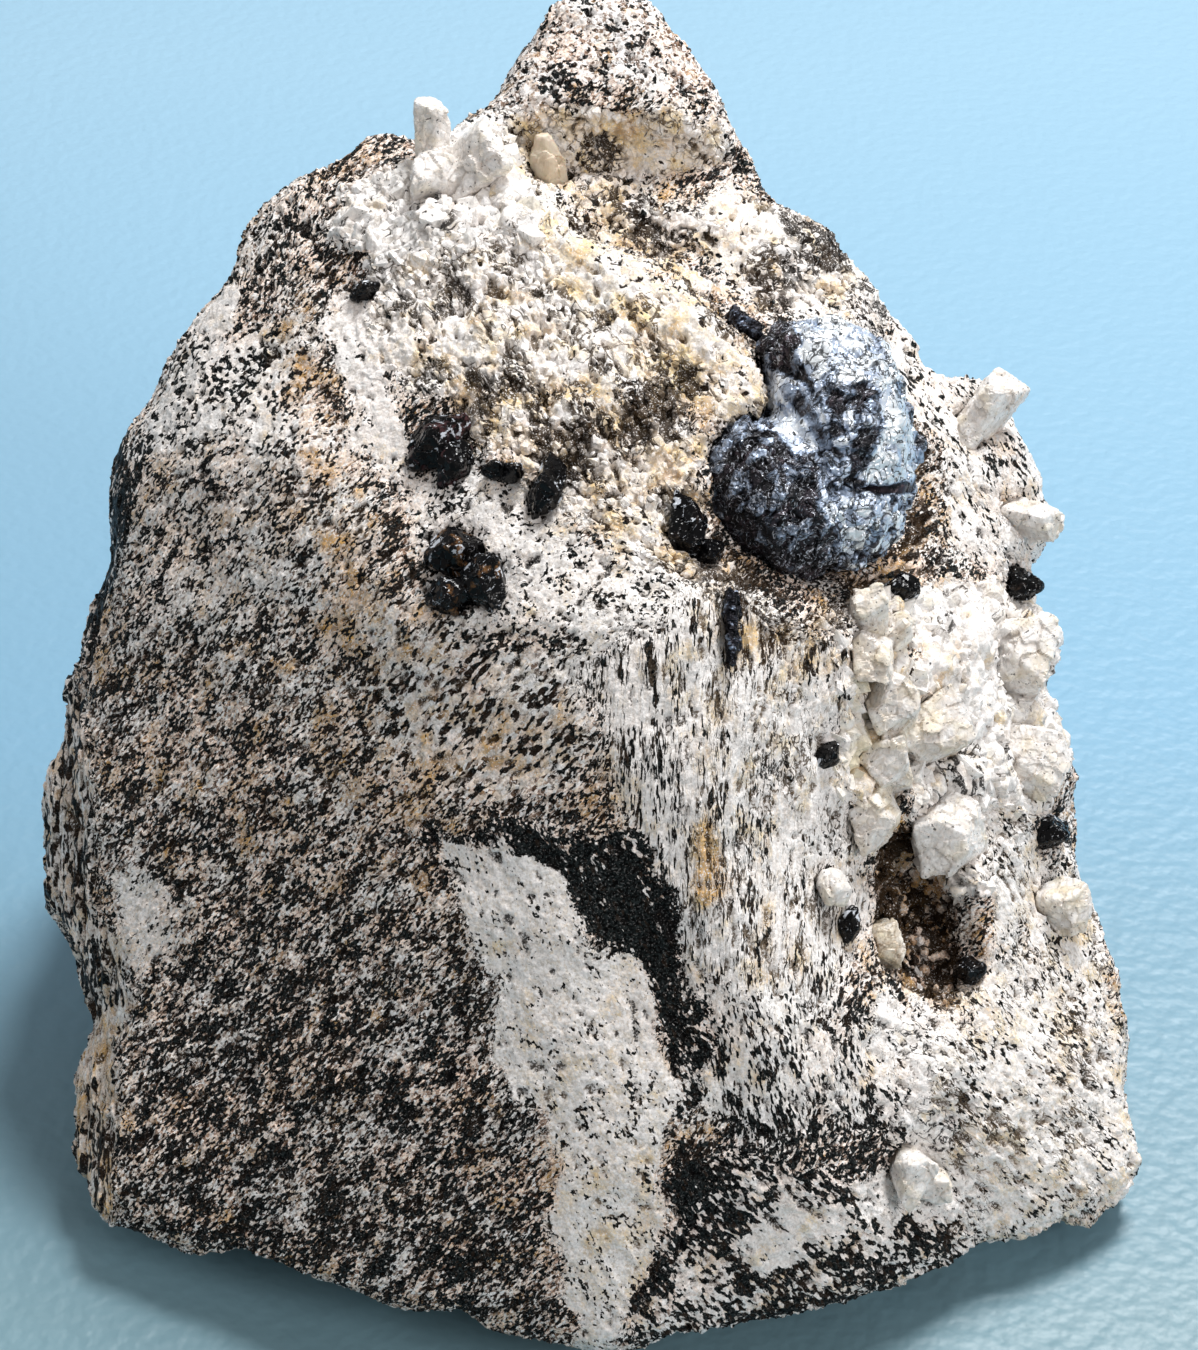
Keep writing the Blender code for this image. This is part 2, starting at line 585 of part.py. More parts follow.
def leafiness_at(point, _normal):
    """How far the nodule's surface stands proud at a point: leaves, and a finer hackle."""
    near = noise.voronoi(point / LEAF_SIZE)[0]
    leaf = min(near[1] - near[0], LEAF_EDGE) - LEAF_EDGE / 2
    return LEAF_RISE * leaf + HACKLE_RISE * noise.noise(point / HACKLE_SIZE)


def nodule(helpers):
    """The hematite nodule: fused lobes with a hackly, leafy surface."""
    lobes = fused("lobes", [nodule_lobe(*lobe) for lobe in NODULE_LOBES], helpers)
    whole = object_from("lobes", lobes, helpers)
    bm = push_out(evened(whole, NODULE_LATTICE), leafiness_at)
    return simplified(bm, NODULE_TRIANGLES, helpers)


def slot_blade():
    """The thin blade that cuts the parting across the nodule's right side."""
    middle, half = NODULE_SLOT
    bm = bmesh.new()
    bmesh.ops.create_cube(bm, size=2.0)
    place = Matrix.Translation(sighted(*middle)) @ PICTURE_FRAME @ Matrix.Diagonal((*half, 1))
    bmesh.ops.transform(bm, matrix=place, verts=bm.verts)
    return bm


def without(bm, sockets, helpers):
    """The mesh cut by each socket in turn, less any chip that this leaves loose."""
    whole = object_from("whole", bm, helpers)
    cutters = [as_helper(object_from("socket", socket, helpers)) for socket in sockets]
    for cutter in cutters:
        boolean(whole, "DIFFERENCE", cutter)
    cut = baked(whole)
    for cutter in cutters:
        bpy.data.objects.remove(cutter)
    keep_largest(cut)
    bmesh.ops.remove_doubles(cut, verts=cut.verts, dist=WELD)
    return cut


def seat_round(bm):
    """A copy of the nodule's mesh, larger all round by the gap that it keeps to the rock."""
    return push_out(bm.copy(), lambda _point, _normal: SEAT_GAP)


def finish(name, colour, roughness, metallic=0.0):
    """A plain material of one colour."""
    made = bpy.data.materials.new(name)
    made.use_nodes = True
    shader = made.node_tree.nodes["Principled BSDF"]
    shader.inputs["Base Color"].default_value = (*colour, 1)
    shader.inputs["Roughness"].default_value = roughness
    shader.inputs["Metallic"].default_value = metallic
    made.diffuse_color = (*colour, 1)
    return made


def clear_scene():
    for old in list(bpy.data.objects):
        bpy.data.objects.remove(old)


def build():
    clear_scene()
    specimen = bpy.data.collections.new("hematite_with_magnetite_specimen")
    helpers = bpy.data.collections.new("cutters")
    for collection in (specimen, helpers):
        bpy.context.scene.collection.children.link(collection)
    gneiss = finish("gneiss", (0.36, 0.33, 0.30), 0.75)
    hematite = finish("hematite", (0.42, 0.45, 0.52), 0.32, 0.9)
    magnetite = finish("magnetite", (0.02, 0.018, 0.018), 0.18, 0.3)
    quartz = finish("quartz", (0.86, 0.83, 0.76), 0.25)

    rock = rough_rock(helpers)
    surface = BVHTree.FromBMesh(rock)
    sockets = []

    ball = nodule(helpers)
    seat = seat_round(ball)
    made = object_from("hematite_nodule", without(ball, [slot_blade()], helpers), specimen)
    made.data.materials.append(hematite)

    for group, material in ((HEMATITE, hematite), (MAGNETITE, magnetite), (QUARTZ, quartz)):
        for name, members in group.items():
            solid = fused(name, [crystal(member, surface) for member in members], helpers)
            made = object_from(name, without(solid, [seat.copy()], helpers), specimen)
            made.data.materials.append(material)
            sockets += [crystal(member, surface, GAP) for member in members]

    made = object_from("gneiss_matrix", without(rock, [seat, *sockets], helpers), specimen)
    made.data.materials.append(gneiss)


build()
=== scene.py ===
import itertools
import math

import bmesh
import bpy
import numpy as np
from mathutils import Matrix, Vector


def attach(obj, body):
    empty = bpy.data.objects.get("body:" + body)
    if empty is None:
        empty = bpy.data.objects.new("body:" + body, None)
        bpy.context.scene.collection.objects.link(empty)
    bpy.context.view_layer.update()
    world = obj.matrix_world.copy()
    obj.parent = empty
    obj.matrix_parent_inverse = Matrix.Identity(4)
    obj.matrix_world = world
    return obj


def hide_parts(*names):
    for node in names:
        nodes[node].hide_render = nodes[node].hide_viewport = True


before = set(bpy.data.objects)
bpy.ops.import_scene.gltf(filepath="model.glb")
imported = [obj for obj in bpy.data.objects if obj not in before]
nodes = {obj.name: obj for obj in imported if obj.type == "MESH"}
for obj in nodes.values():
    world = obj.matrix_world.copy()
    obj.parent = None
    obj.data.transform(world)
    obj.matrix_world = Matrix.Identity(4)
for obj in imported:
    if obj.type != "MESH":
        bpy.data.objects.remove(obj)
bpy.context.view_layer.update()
mm = 0.001  # everything below is worked out in millimetres and written to the meshes in metres

# Where the specimen is seen from. The zones below are drawn on this picture plane.
sight = {
    "target": (0.0, 0.0, 40.0),
    "distance": 280.0,
    "tiltDegrees": 40.0,
    "sensor": 36.0,
    "picture": (1198, 1350),
    "pixelsPerMm": 13.0,
}
tilt = math.radians(sight["tiltDegrees"])
right = np.array([1.0, 0.0, 0.0])
upward = np.array([0.0, math.sin(tilt), math.cos(tilt)])
ahead = np.array([0.0, math.cos(tilt), -math.sin(tilt)])
eye = np.array(sight["target"]) - ahead * sight["distance"]


def seenPlace(points):
    # a point's offset from the eye, drawn back to the target's distance: mm across and up
    offset = points - eye
    scale = sight["distance"] / (offset @ ahead)
    return np.stack([offset @ right * scale, offset @ upward * scale], axis=-1)


def pictureMm(pixels):
    # places on the 1198 x 1350 picture as mm across and up from its middle
    offset = np.array(pixels, float).reshape(-1, 2) - np.array(sight["picture"]) / 2
    return offset * (1, -1) / sight["pixelsPerMm"]


# Random numbers, noise and cells, all as whole arrays.
def hashed(cells, seed):
    # one number from 0 to 1 for each whole-number cell, from products of large odd numbers
    cells = cells.astype(np.int64)
    mixed = cells[..., 0] * 374761393 + cells[..., 1] * 668265263 + cells[..., 2] * 1103515245
    mixed = (mixed + seed * 974634777) & 0xFFFFFFFF
    mixed = ((mixed ^ (mixed >> 13)) * 1274126177) & 0xFFFFFFFF
    mixed = ((mixed ^ (mixed >> 16)) * 2246822519) & 0xFFFFFFFF
    return ((mixed ^ (mixed >> 15)) & 0xFFFFFF) / 0x1000000


def softNoise(points, size, seed=0):
    # random numbers on a lattice of that size, blended between by 3f^2 - 2f^3; from -1 to 1
    scaled = points / size
    base = np.floor(scaled)
    part = scaled - base
    part = part * part * (3 - 2 * part)
    total = np.zeros(len(points))
    for corner in itertools.product((0, 1), repeat=3):
        weight = np.prod(np.where(corner, part, 1 - part), axis=1)
        total += weight * hashed(base + corner, seed)
    return total * 2 - 1


def layeredNoise(points, size, seed=0, layers=3):
    # soft noise with finer copies added, each half as large and half as strong
    return sum(softNoise(points, size / 2 ** k, seed + k) / 2 ** k for k in range(layers))


def cellNoise(points, size, seed=0):
    # one scattered seed in each lattice cell: distances to the nearest and the next, in
    # cells, the nearest one's cell, and the offset from it
    scaled = points / size
    base = np.floor(scaled)
    first = np.full(len(points), np.inf)
    second = first.copy()
    owner = base.copy()
    offset = np.zeros_like(scaled)
    for corner in itertools.product((-1, 0, 1), repeat=3):
        cell = base + corner
        spot = cell + np.stack([hashed(cell, seed + k) for k in range(3)], axis=-1)
        gap = ((spot - scaled) ** 2).sum(axis=1)
        closer = gap < first
        second = np.where(closer, first, np.minimum(second, gap))
        owner[closer] = cell[closer]
        offset[closer] = (scaled - spot)[closer]
        first = np.where(closer, gap, first)
    return np.sqrt(first), np.sqrt(second), owner, offset


def eased(value):
    # 0 below 0, 1 above 1, and 3v^2 - 2v^3 between
    value = np.clip(value, 0, 1)
    return value * value * (3 - 2 * value)


# Meshes to arrays and back.
def arraysOf(mesh):
    mesh.calc_loop_triangles()
    points = np.empty(len(mesh.vertices) * 3, np.float32)
    faces = np.empty(len(mesh.loop_triangles) * 3, np.int32)
    mesh.vertices.foreach_get("co", points)
    mesh.loop_triangles.foreach_get("vertices", faces)
    return points.reshape(-1, 3).astype(float) / mm, faces.reshape(-1, 3)


def rawMesh(name, points, faces):
    mesh = bpy.data.meshes.new(name)
    mesh.from_pydata((points * mm).tolist(), [], faces.tolist())
    return mesh


def modified(mesh, kind, **settings):
    # what one modifier makes of the mesh: points, triangles and the vectors that the points
    # carry, if it has them; the mesh itself is used up
    helper = bpy.data.objects.new("helper", mesh)
    bpy.context.scene.collection.objects.link(helper)
    modifier = helper.modifiers.new(kind, kind)
    for key, value in settings.items():
        setattr(modifier, key, value)
    made = bpy.data.meshes.new_from_object(helper.evaluated_get(bpy.context.evaluated_depsgraph_get()))
    points, faces = arraysOf(made)
    carried = np.zeros(len(points) * 3, np.float32)
    if "carried" in made.attributes:
        made.attributes["carried"].data.foreach_get("vector", carried)
    bpy.data.objects.remove(helper)
    bpy.data.meshes.remove(made)
    bpy.data.meshes.remove(mesh)
    return points, faces, carried.reshape(-1, 3).astype(float)


def mergedCopy(node):
    # a copy of a CAD node's mesh with its loose triangles joined
    work = bmesh.new()
    work.from_mesh(nodes[node].data)
    bmesh.ops.remove_doubles(work, verts=work.verts, dist=1e-6)
    mesh = bpy.data.meshes.new(node + "_copy")
    work.to_mesh(mesh)
    work.free()
    return mesh


def resampled(node, spacing):
    return modified(mergedCopy(node), "REMESH", mode="VOXEL", voxel_size=spacing * mm)[:2]


def thinned(points, faces, triangles, rest):
    # the piece with fewer triangles, and the place at rest of each point that is left
    if len(faces) <= triangles:
        return points, faces, rest
    mesh = rawMesh("dense", points, faces)
    layer = mesh.attributes.new("carried", "FLOAT_VECTOR", "POINT")
    layer.data.foreach_set("vector", rest.astype(np.float32).ravel())
    return modified(mesh, "DECIMATE", ratio=triangles / len(faces))


def sidesOf(faces):
    # every triangle's three sides, as pairs of points
    return np.concatenate([faces[:, [0, 1]], faces[:, [1, 2]], faces[:, [2, 0]]])


def summed(index, vectors, count):
    # the vectors added up for each index
    return np.stack([np.bincount(index, vectors[:, k], count) for k in range(3)], axis=-1)


def unit(vectors):
    return vectors / np.linalg.norm(vectors, axis=1, keepdims=True)


def relaxed(points, faces, rounds, strength):
    # each round moves a point part of the way to the middle of its neighbours
    start, end = sidesOf(faces).T
    count = np.bincount(start, minlength=len(points))[:, None]
    strength = np.broadcast_to(strength, len(points))[:, None]
    for _ in range(rounds):
        points = points + strength * (summed(start, points[end], len(points)) / count - points)
    return points


def faceNormals(points, faces):
    a, b, c = points[faces].transpose(1, 0, 2)
    return np.cross(b - a, c - a)


def normalsOf(points, faces):
    # the faces' normals summed at their corners, larger faces counting more
    total = summed(faces.ravel(), np.repeat(faceNormals(points, faces), 3, axis=0), len(points))
    return total / np.maximum(np.linalg.norm(total, axis=1, keepdims=True), 1e-12)


def makePiece(name, points, faces, finish, replaced=(), smooth=False, fields=None, cornerFields=None):
    mesh = rawMesh(name, points, faces)
    mesh.polygons.foreach_set("use_smooth", np.full(len(faces), smooth))
    for key, values in (fields or {}).items():
        mesh.attributes.new(key, "FLOAT", "POINT").data.foreach_set("value", values.astype(np.float32))
    for key, values in (cornerFields or {}).items():
        layer = mesh.attributes.new(key, "FLOAT_VECTOR", "CORNER")
        layer.data.foreach_set("vector", values.astype(np.float32).ravel())
    mesh.update()
    piece = bpy.data.objects.new(name, mesh)
    bpy.context.scene.collection.objects.link(piece)
    mesh.materials.append(finish)
    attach(piece, "root")
    if replaced:
        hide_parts(*replaced)
    print(f"{name}: {len(faces)} triangles")


# Shader maths: a signal is one output socket, and arithmetic on it adds Math nodes.
class Signal:
    def __init__(self, finish, socket):
        self.finish = finish
        self.socket = socket

    def math(self, operation, *others):
        values = dict(enumerate(others))
        return self.finish.node("ShaderNodeMath", {"operation": operation}, values)

    def __add__(self, other):
        return self.math("ADD", self, other)

    def __sub__(self, other):
        return self.math("SUBTRACT", self, other)

    def __rsub__(self, other):
        return self.math("SUBTRACT", other, self)

    def __mul__(self, other):
        return self.math("MULTIPLY", self, other)

    __radd__ = __add__
    __rmul__ = __mul__

    def absolute(self):
        return self.math("ABSOLUTE", self)

    def clamped(self):
        clamp = {"operation": "ADD", "use_clamp": True}
        return self.finish.node("ShaderNodeMath", clamp, {0: self, 1: 0.0})

    def between(self, low, high):
        # 0 where the signal is at low, 1 at high, and held outside them
        return ((self - low) * (1 / (high - low))).clamped()


class Finish:
    def __init__(self, name, **constants):
        self.material = bpy.data.materials.new(name)
        self.material.use_nodes = True
        self.tree = self.material.node_tree
        self.shader = self.tree.nodes["Principled BSDF"]
        for key, value in constants.items():
            self.shader.inputs[key.replace("_", " ")].default_value = value

    def node(self, kind, settings=None, inputs=None, output=0):
        made = self.tree.nodes.new(kind)
        for key, value in (settings or {}).items():
            if key == "stops":
                self.setStops(made.color_ramp, value)
            else:
                setattr(made, key, value)
        for key, value in (inputs or {}).items():
            if isinstance(value, Signal):
                self.tree.links.new(value.socket, made.inputs[key])
            else:
                made.inputs[key].default_value = value
        return Signal(self, made.outputs[output])

    def setStops(self, ramp, stops):
        for position, colour in stops[2:]:
            ramp.elements.new(position)
        for element, (position, colour) in zip(ramp.elements, sorted(stops)):
            element.position = position
            element.color = (*colour, 1)

    def shown(self, **signals):
        for key, signal in signals.items():
            self.tree.links.new(signal.socket, self.shader.inputs[key.replace("_", " ")])
        return self.material

    def field(self, name, output="Fac"):
        return self.node("ShaderNodeAttribute", {"attribute_name": name}, output=output)

    def fields(self, *names):
        return [self.field(name) for name in names]

    def objectPlace(self, stretch=(1, 1, 1), turn=(0, 0, 0)):
        # object coordinates in mm, turned and stretched
        place = self.node("ShaderNodeTexCoord", output="Object")
        scale = [s / mm for s in stretch]
        return self.node("ShaderNodeMapping", {"vector_type": "POINT"}, {0: place, 2: turn, 3: scale})

    def noise(self, place, size, detail=2.0, distortion=0.0):
        values = {"Vector": place, "Scale": 1 / size, "Detail": detail, "Distortion": distortion}
        return self.node("ShaderNodeTexNoise", {}, values, "Fac")

    def cellTones(self, place, size):
        # three random numbers for each cell
        colour = self.node("ShaderNodeTexVoronoi", {}, {"Vector": place, "Scale": 1 / size}, "Color")
        return [self.node("ShaderNodeSeparateColor", {}, {0: colour}, k) for k in range(3)]

    def blend(self, factor, first, second, how="MIX"):
        colours = [(*c, 1) if isinstance(c, tuple) else c for c in (first, second)]
        settings = {"data_type": "RGBA", "blend_type": how}
        return self.node("ShaderNodeMix", settings, {0: factor, 6: colours[0], 7: colours[1]}, 2)

    def ramp(self, value, stops):
        return self.node("ShaderNodeValToRGB", {"stops": stops}, {0: value})

    def grey(self, value):
        return self.node("ShaderNodeCombineColor", {}, {0: value, 1: value, 2: value})

    def bump(self, height, depth, strength):
        values = {"Strength": strength, "Distance": depth * mm, "Height": height}
        return self.node("ShaderNodeBump", {}, values)


palette = {
    "white": (0.92, 0.895, 0.875),
    "coolWhite": (0.83, 0.805, 0.81),
    "cream": (0.80, 0.71, 0.57),
    "tan": (0.42, 0.26, 0.135),
    "gold": (0.76, 0.44, 0.13),
    "brown": (0.034, 0.021, 0.014),
    "paleTan": (0.62, 0.44, 0.25),
    "paleGold": (0.84, 0.66, 0.36),
    "glassGrey": (0.56, 0.525, 0.48),
    "black": (0.002, 0.002, 0.002),
    "slate": (0.018, 0.023, 0.0235),
}

# What the rock's surface is like, and where. Outlines and lines are places on the picture.
# dark, rust and pits are shares, pale runs from dull brownish grey to nearly white, cool from
# cream to bluish white, and cell is the speckle's size in mm, stretched along an angle in the
# picture. bumpy, lumpy and ridged are relief in mm, size is the raised grain's in mm, and flat
# is how much the CAD form's facets are smoothed away.
plainRock = dict(dark=0.46, rust=0.26, cool=0.35, pale=0.36, pits=0.03, cell=0.45, stretch=2.0,
                 angle=50, bumpy=0.22, lumpy=0.15, ridged=0.08, flat=1.0, size=0.55)
zones = {
    "faceFoot": dict(
        outline=[(150, 1000), (300, 900), (470, 1000), (560, 1120), (560, 1360), (100, 1300)],
        soft=9, dark=0.57, rust=0.18, cool=0.45, pale=0.30),
    "faceHead": dict(
        outline=[(125, 480), (150, 390), (260, 390), (330, 440), (420, 580), (440, 680),
                 (300, 640), (130, 640)],
        soft=8, dark=0.4, rust=0.22, cool=0.45, pale=0.58),
    "faceRight": dict(
        outline=[(330, 620), (440, 680), (480, 800), (420, 860), (330, 800), (300, 700)],
        soft=6, dark=0.37, rust=0.40, cool=0.25, pale=0.42),
    "cornerSpeckle": dict(
        outline=[(215, 290), (225, 235), (262, 195), (312, 175), (335, 215), (310, 280), (300, 340)],
        soft=1.5, dark=0.4, rust=0.22, pale=0.5, angle=70, stretch=2.2, flat=0.4, bumpy=0.3),
    "spottedWhite": dict(
        outline=[(140, 440), (165, 350), (200, 310), (300, 325), (300, 390), (320, 440), (250, 440)],
        soft=3.5, dark=0.4, rust=0.06, cool=0.7, pale=0.9, cell=0.6, stretch=1.2, bumpy=0.25),
    "paleBlock": dict(
        outline=[(184, 325), (205, 290), (245, 292), (245, 345), (205, 345)],
        soft=1, dark=0.02, rust=0.03, cool=0.6, pale=1, pits=0.02, cell=0.8, stretch=1),
    "brownStreak": dict(
        line=[(296, 335), (312, 400), (322, 470), (338, 540), (360, 620)], width=20,
        soft=3, dark=0.28, rust=0.55, cool=0.2, pale=0.5),
    "whiteStripe": dict(
        outline=[(300, 262), (345, 255), (372, 290), (390, 350), (402, 420), (425, 500),
                 (372, 440), (330, 360)],
        soft=3, dark=0.06, rust=0.03, cool=0.8, pale=0.95, cell=0.6, stretch=1.2, angle=110),
    "crestQuartz": dict(
        outline=[(312, 245), (345, 205), (400, 150), (460, 120), (540, 130), (575, 190), (540, 260),
                 (480, 300), (400, 300), (350, 265)],
        soft=1.5, dark=0.01, rust=0.12, cool=0.55, pale=1, pits=0.13, cell=1.3, stretch=1, flat=0.2,
        bumpy=0.8, lumpy=0.8, size=1.7),
    "whiteSugar": dict(
        outline=[(375, 260), (480, 260), (560, 190), (625, 255), (700, 330), (640, 400), (560, 400),
                 (500, 400), (440, 400), (395, 360)],
        soft=2, dark=0.04, rust=0.3, cool=0.35, pale=1, pits=0.2, cell=0.8, stretch=1.3, angle=125,
        flat=0.2, bumpy=0.55, lumpy=0.8, size=0.72),
    "goldSugar": dict(
        outline=[(540, 230), (600, 235), (700, 320), (780, 420), (765, 440), (700, 430), (620, 350),
                 (560, 300)],
        soft=2.5, dark=0.05, rust=0.62, cool=0.1, pale=1, pits=0.26, cell=0.8, stretch=1.3, angle=130,
        flat=0.2, bumpy=0.55, lumpy=0.8, size=0.68),
    "brownSugar": dict(
        outline=[(430, 350), (500, 385), (570, 380), (640, 375), (740, 430), (725, 470), (715, 530),
                 (740, 580), (690, 590), (600, 540), (520, 480), (455, 420)],
        soft=2.5, dark=0.13, rust=0.56, cool=0.15, pale=0.9, pits=0.5, cell=0.7, stretch=1.4,
        angle=125, flat=0.2, bumpy=0.6, lumpy=0.8, size=0.68),
    "goldStreak": dict(
        line=[(570, 500), (630, 535), (690, 575), (740, 610), (800, 625), (850, 620)], width=26,
        soft=2, dark=0.12, rust=0.50, cool=0.15, pale=0.9, pits=0.35, cell=0.8, stretch=1.3, angle=150,
        bumpy=0.45, size=0.65),
    "whitePatch": dict(
        outline=[(405, 490), (470, 470), (545, 490), (600, 545), (680, 590), (700, 640), (640, 680),
                 (560, 650), (480, 650), (430, 590), (400, 540)],
        soft=3, dark=0.2, rust=0.10, cool=0.6, pale=0.95, pits=0.05, cell=0.40, stretch=1.2,
        bumpy=0.3, lumpy=0.35, size=0.55),
    "summit": dict(
        outline=[(500, 120), (560, 0), (600, -20), (680, -20), (730, 60), (765, 130), (770, 180),
                 (700, 110), (600, 100), (530, 125)],
        soft=2, dark=0.26, rust=0.14, cool=1.0, pale=0.42, pits=0.03, cell=0.5, stretch=1.1, flat=0.4,
        bumpy=0.35, lumpy=0.3, size=0.6),
    "summitRecess": dict(
        outline=[(505, 130), (570, 105), (640, 100), (700, 112), (755, 165), (700, 185), (620, 178),
                 (550, 175)],
        soft=1.2, dark=0.05, rust=0.6, cool=0.1, pale=1.0, pits=0.24, cell=0.8, stretch=1, flat=0.2,
        bumpy=0.55, lumpy=0.5, size=0.7),
    "paleLedge": dict(
        outline=[(545, 180), (620, 180), (760, 178), (850, 240), (900, 300), (870, 330), (770, 330),
                 (700, 290), (640, 255), (590, 220)],
        soft=1.5, dark=0.15, rust=0.34, cool=0.4, pale=0.9, pits=0.3, cell=0.9, stretch=1.2,
        angle=140, flat=0.2, bumpy=0.5, lumpy=0.6, size=0.75),
    "grooveShade": dict(
        line=[(505, 150), (550, 195), (600, 235), (650, 262), (700, 285), (745, 320)], width=14,
        soft=1.5, dark=0.25, rust=0.55, cool=0.1, pits=0.5, cell=0.7, bumpy=0.5, size=0.7),
    "rightShoulder": dict(
        outline=[(880, 300), (930, 345), (1000, 365), (1060, 370), (1090, 440), (1080, 560),
                 (1000, 600), (945, 560), (925, 450), (895, 380)],
        soft=2.5, dark=0.24, rust=0.16, cool=0.7, pale=0.8, cell=0.48, stretch=2.6, angle=122,
        flat=0.3, bumpy=0.3, ridged=0.2, lumpy=0.4, size=0.58),
    "seatShade": dict(
        line=[(905, 440), (925, 480), (925, 530), (900, 570), (870, 590)], width=24,
        soft=1.5, cell=1.0, dark=0.50, rust=0.55, cool=0.1, pale=0.4, pits=0.75, bumpy=0.4, size=0.6),
    "seatShadeLeft": dict(
        line=[(740, 425), (705, 455), (700, 510), (725, 560), (790, 600)], width=12,
        soft=1.2, dark=0.5, rust=0.5, cool=0.1, pits=0.6, size=0.6),
    "browBrown": dict(
        outline=[(400, 640), (450, 610), (540, 625), (610, 690), (600, 760), (540, 790), (460, 770),
                 (410, 720)],
        soft=5, dark=0.27, rust=0.40, cool=0.25, pale=0.55, cell=0.7),
    "spine": dict(
        outline=[(560, 660), (620, 640), (700, 600), (740, 600), (850, 640), (870, 760), (880, 860),
                 (870, 960), (840, 1020), (780, 1040), (700, 1050), (670, 960), (640, 860),
                 (590, 760)],
        soft=3, dark=0.22, rust=0.24, cool=0.7, pale=1, pits=0.14, cell=0.48, stretch=5.0, angle=94,
        bumpy=0.2, ridged=0.2, flat=0.8, size=0.55),
    "spineClear": dict(
        outline=[(755, 700), (845, 690), (860, 800), (840, 860), (770, 840)],
        soft=3, dark=0.1, cool=0.8, stretch=3.0),
    "spineCrack": dict(
        line=[(648, 645), (655, 700), (661, 760), (653, 800), (660, 850), (668, 900)], width=1.5,
        soft=0.25, dark=0.9, rust=0.3),
    "goldPatch": dict(
        outline=[(735, 605), (850, 600), (855, 650), (800, 680), (735, 665)],
        soft=2.5, dark=0.26, rust=0.56, cool=0.2, pale=0.8, pits=0.3, cell=0.6),
    "rustPatch": dict(
        line=[(705, 815), (709, 885)], width=10,
        soft=2.2, dark=0.12, rust=0.97, cool=0.1, pale=0.55, cell=0.5),
    "lowerStreaks": dict(
        outline=[(655, 960), (760, 1030), (860, 1010), (900, 1050), (890, 1110), (800, 1130),
                 (700, 1140), (680, 1060)],
        soft=4, pits=0.08, dark=0.3, rust=0.14, cool=0.6, pale=0.85, cell=0.5, stretch=3.0, angle=105,
        ridged=0.2, size=0.55),
    "lowerRight": dict(
        outline=[(880, 1010), (960, 1000), (1010, 930), (1085, 930), (1130, 1060), (1160, 1180),
                 (1080, 1250), (980, 1260), (900, 1180), (890, 1080)],
        soft=3.5, pits=0.12, dark=0.17, rust=0.3, cool=0.4, pale=1, cell=0.46, stretch=2.3, angle=128,
        ridged=0.2, bumpy=0.32, lumpy=0.35, size=0.58),
    "lowerFoot": dict(
        outline=[(640, 1200), (700, 1150), (900, 1190), (1000, 1260), (1080, 1240), (1100, 1290),
                 (900, 1340), (600, 1390)],
        soft=2.5, dark=0.6, rust=0.26, cool=0.7, pale=0.7, cell=0.6, stretch=2.0, angle=130,
        ridged=0.2, bumpy=0.35, size=0.58),
    "slateCloud": dict(
        line=[(745, 1140), (800, 1165), (860, 1150), (915, 1120)], width=34,
        soft=2.5, dark=0.58, rust=0.05, cool=0.9),
    "slatePatch": dict(line=[(720, 1215), (700, 1290)], width=30, soft=3, dark=0.55, rust=0.1, cool=0.8),
    "paleStreak": dict(
        line=[(900, 1010), (920, 1060), (925, 1120), (930, 1190)], width=18,
        soft=1.5, dark=0.04, rust=0.06, cool=0.7, pale=1, cell=0.7, stretch=1.3),
    "paleSweep": dict(
        line=[(760, 1250), (830, 1215), (900, 1195), (990, 1215)], width=12,
        soft=1.5, dark=0.10, rust=0.10, cool=0.7, pale=1),
    "quartzColumn": dict(
        outline=[(845, 600), (905, 590), (915, 700), (900, 800), (880, 860), (850, 850), (850, 700)],
        soft=1.2, dark=0.01, rust=0.5, cool=0.2, pale=1, pits=0.06, cell=1.4, stretch=1, flat=0.2,
        bumpy=0.9, lumpy=0.8, size=1.9),
    "quartzFace": dict(
        outline=[(905, 590), (990, 570), (1065, 600), (1075, 760), (1060, 820), (1000, 830),
                 (990, 900), (950, 900), (905, 820)],
        soft=1.2, dark=0.03, rust=0.15, cool=0.5, pale=1, pits=0.14, cell=1.1, stretch=1.4, angle=110,
        flat=0.2, bumpy=0.8, lumpy=0.8, size=1.5),
    "rimStreaks": dict(
        outline=[(990, 820), (1060, 810), (1095, 900), (1110, 1000), (1040, 980), (985, 900)],
        soft=1.5, pits=0.1, dark=0.18, rust=0.22, cool=0.5, pale=1, cell=0.45, stretch=3.0, angle=122,
        ridged=0.22, lumpy=0.35, size=0.58),
    # the cavity is painted dark brown: partly brown stain, partly painted shade in the hollow
    "cavity": dict(
        outline=[(868, 830), (905, 818), (935, 855), (958, 900), (965, 960), (950, 1000), (905, 985),
                 (880, 930)],
        soft=1.0, dark=0.55, rust=0.6, cool=0.1, pale=0.35, pits=1.0, cell=1.4, stretch=1, bumpy=0.6,
        flat=0, size=0.7),
    "darkBand": dict(
        line=[(430, 836), (500, 842), (560, 850), (600, 870), (630, 910), (652, 960), (664, 1010),
              (682, 1070), (688, 1120), (672, 1180), (655, 1240), (640, 1300), (630, 1360)],
        widths=[3, 8, 30, 48, 38, 26, 17, 15, 17, 13, 9, 8, 7],
        soft=1.6, dark=0.85, rust=0.0, cool=0.9, pale=0.5, cell=0.55, stretch=2.0, angle=118),
    "paleVein": dict(
        outline=[(444, 843), (500, 848), (540, 868), (566, 905), (592, 952), (632, 950), (652, 1000),
                 (662, 1040), (676, 1100), (670, 1145), (650, 1210), (634, 1290), (622, 1370),
                 (570, 1370), (566, 1270), (553, 1216), (566, 1165), (555, 1110), (520, 1100),
                 (494, 1065), (487, 1002), (466, 937), (448, 885)],
        soft=0.8, dark=0.1, rust=0.10, cool=0.4, pale=0.97, pits=0.01, cell=0.36, stretch=1.5,
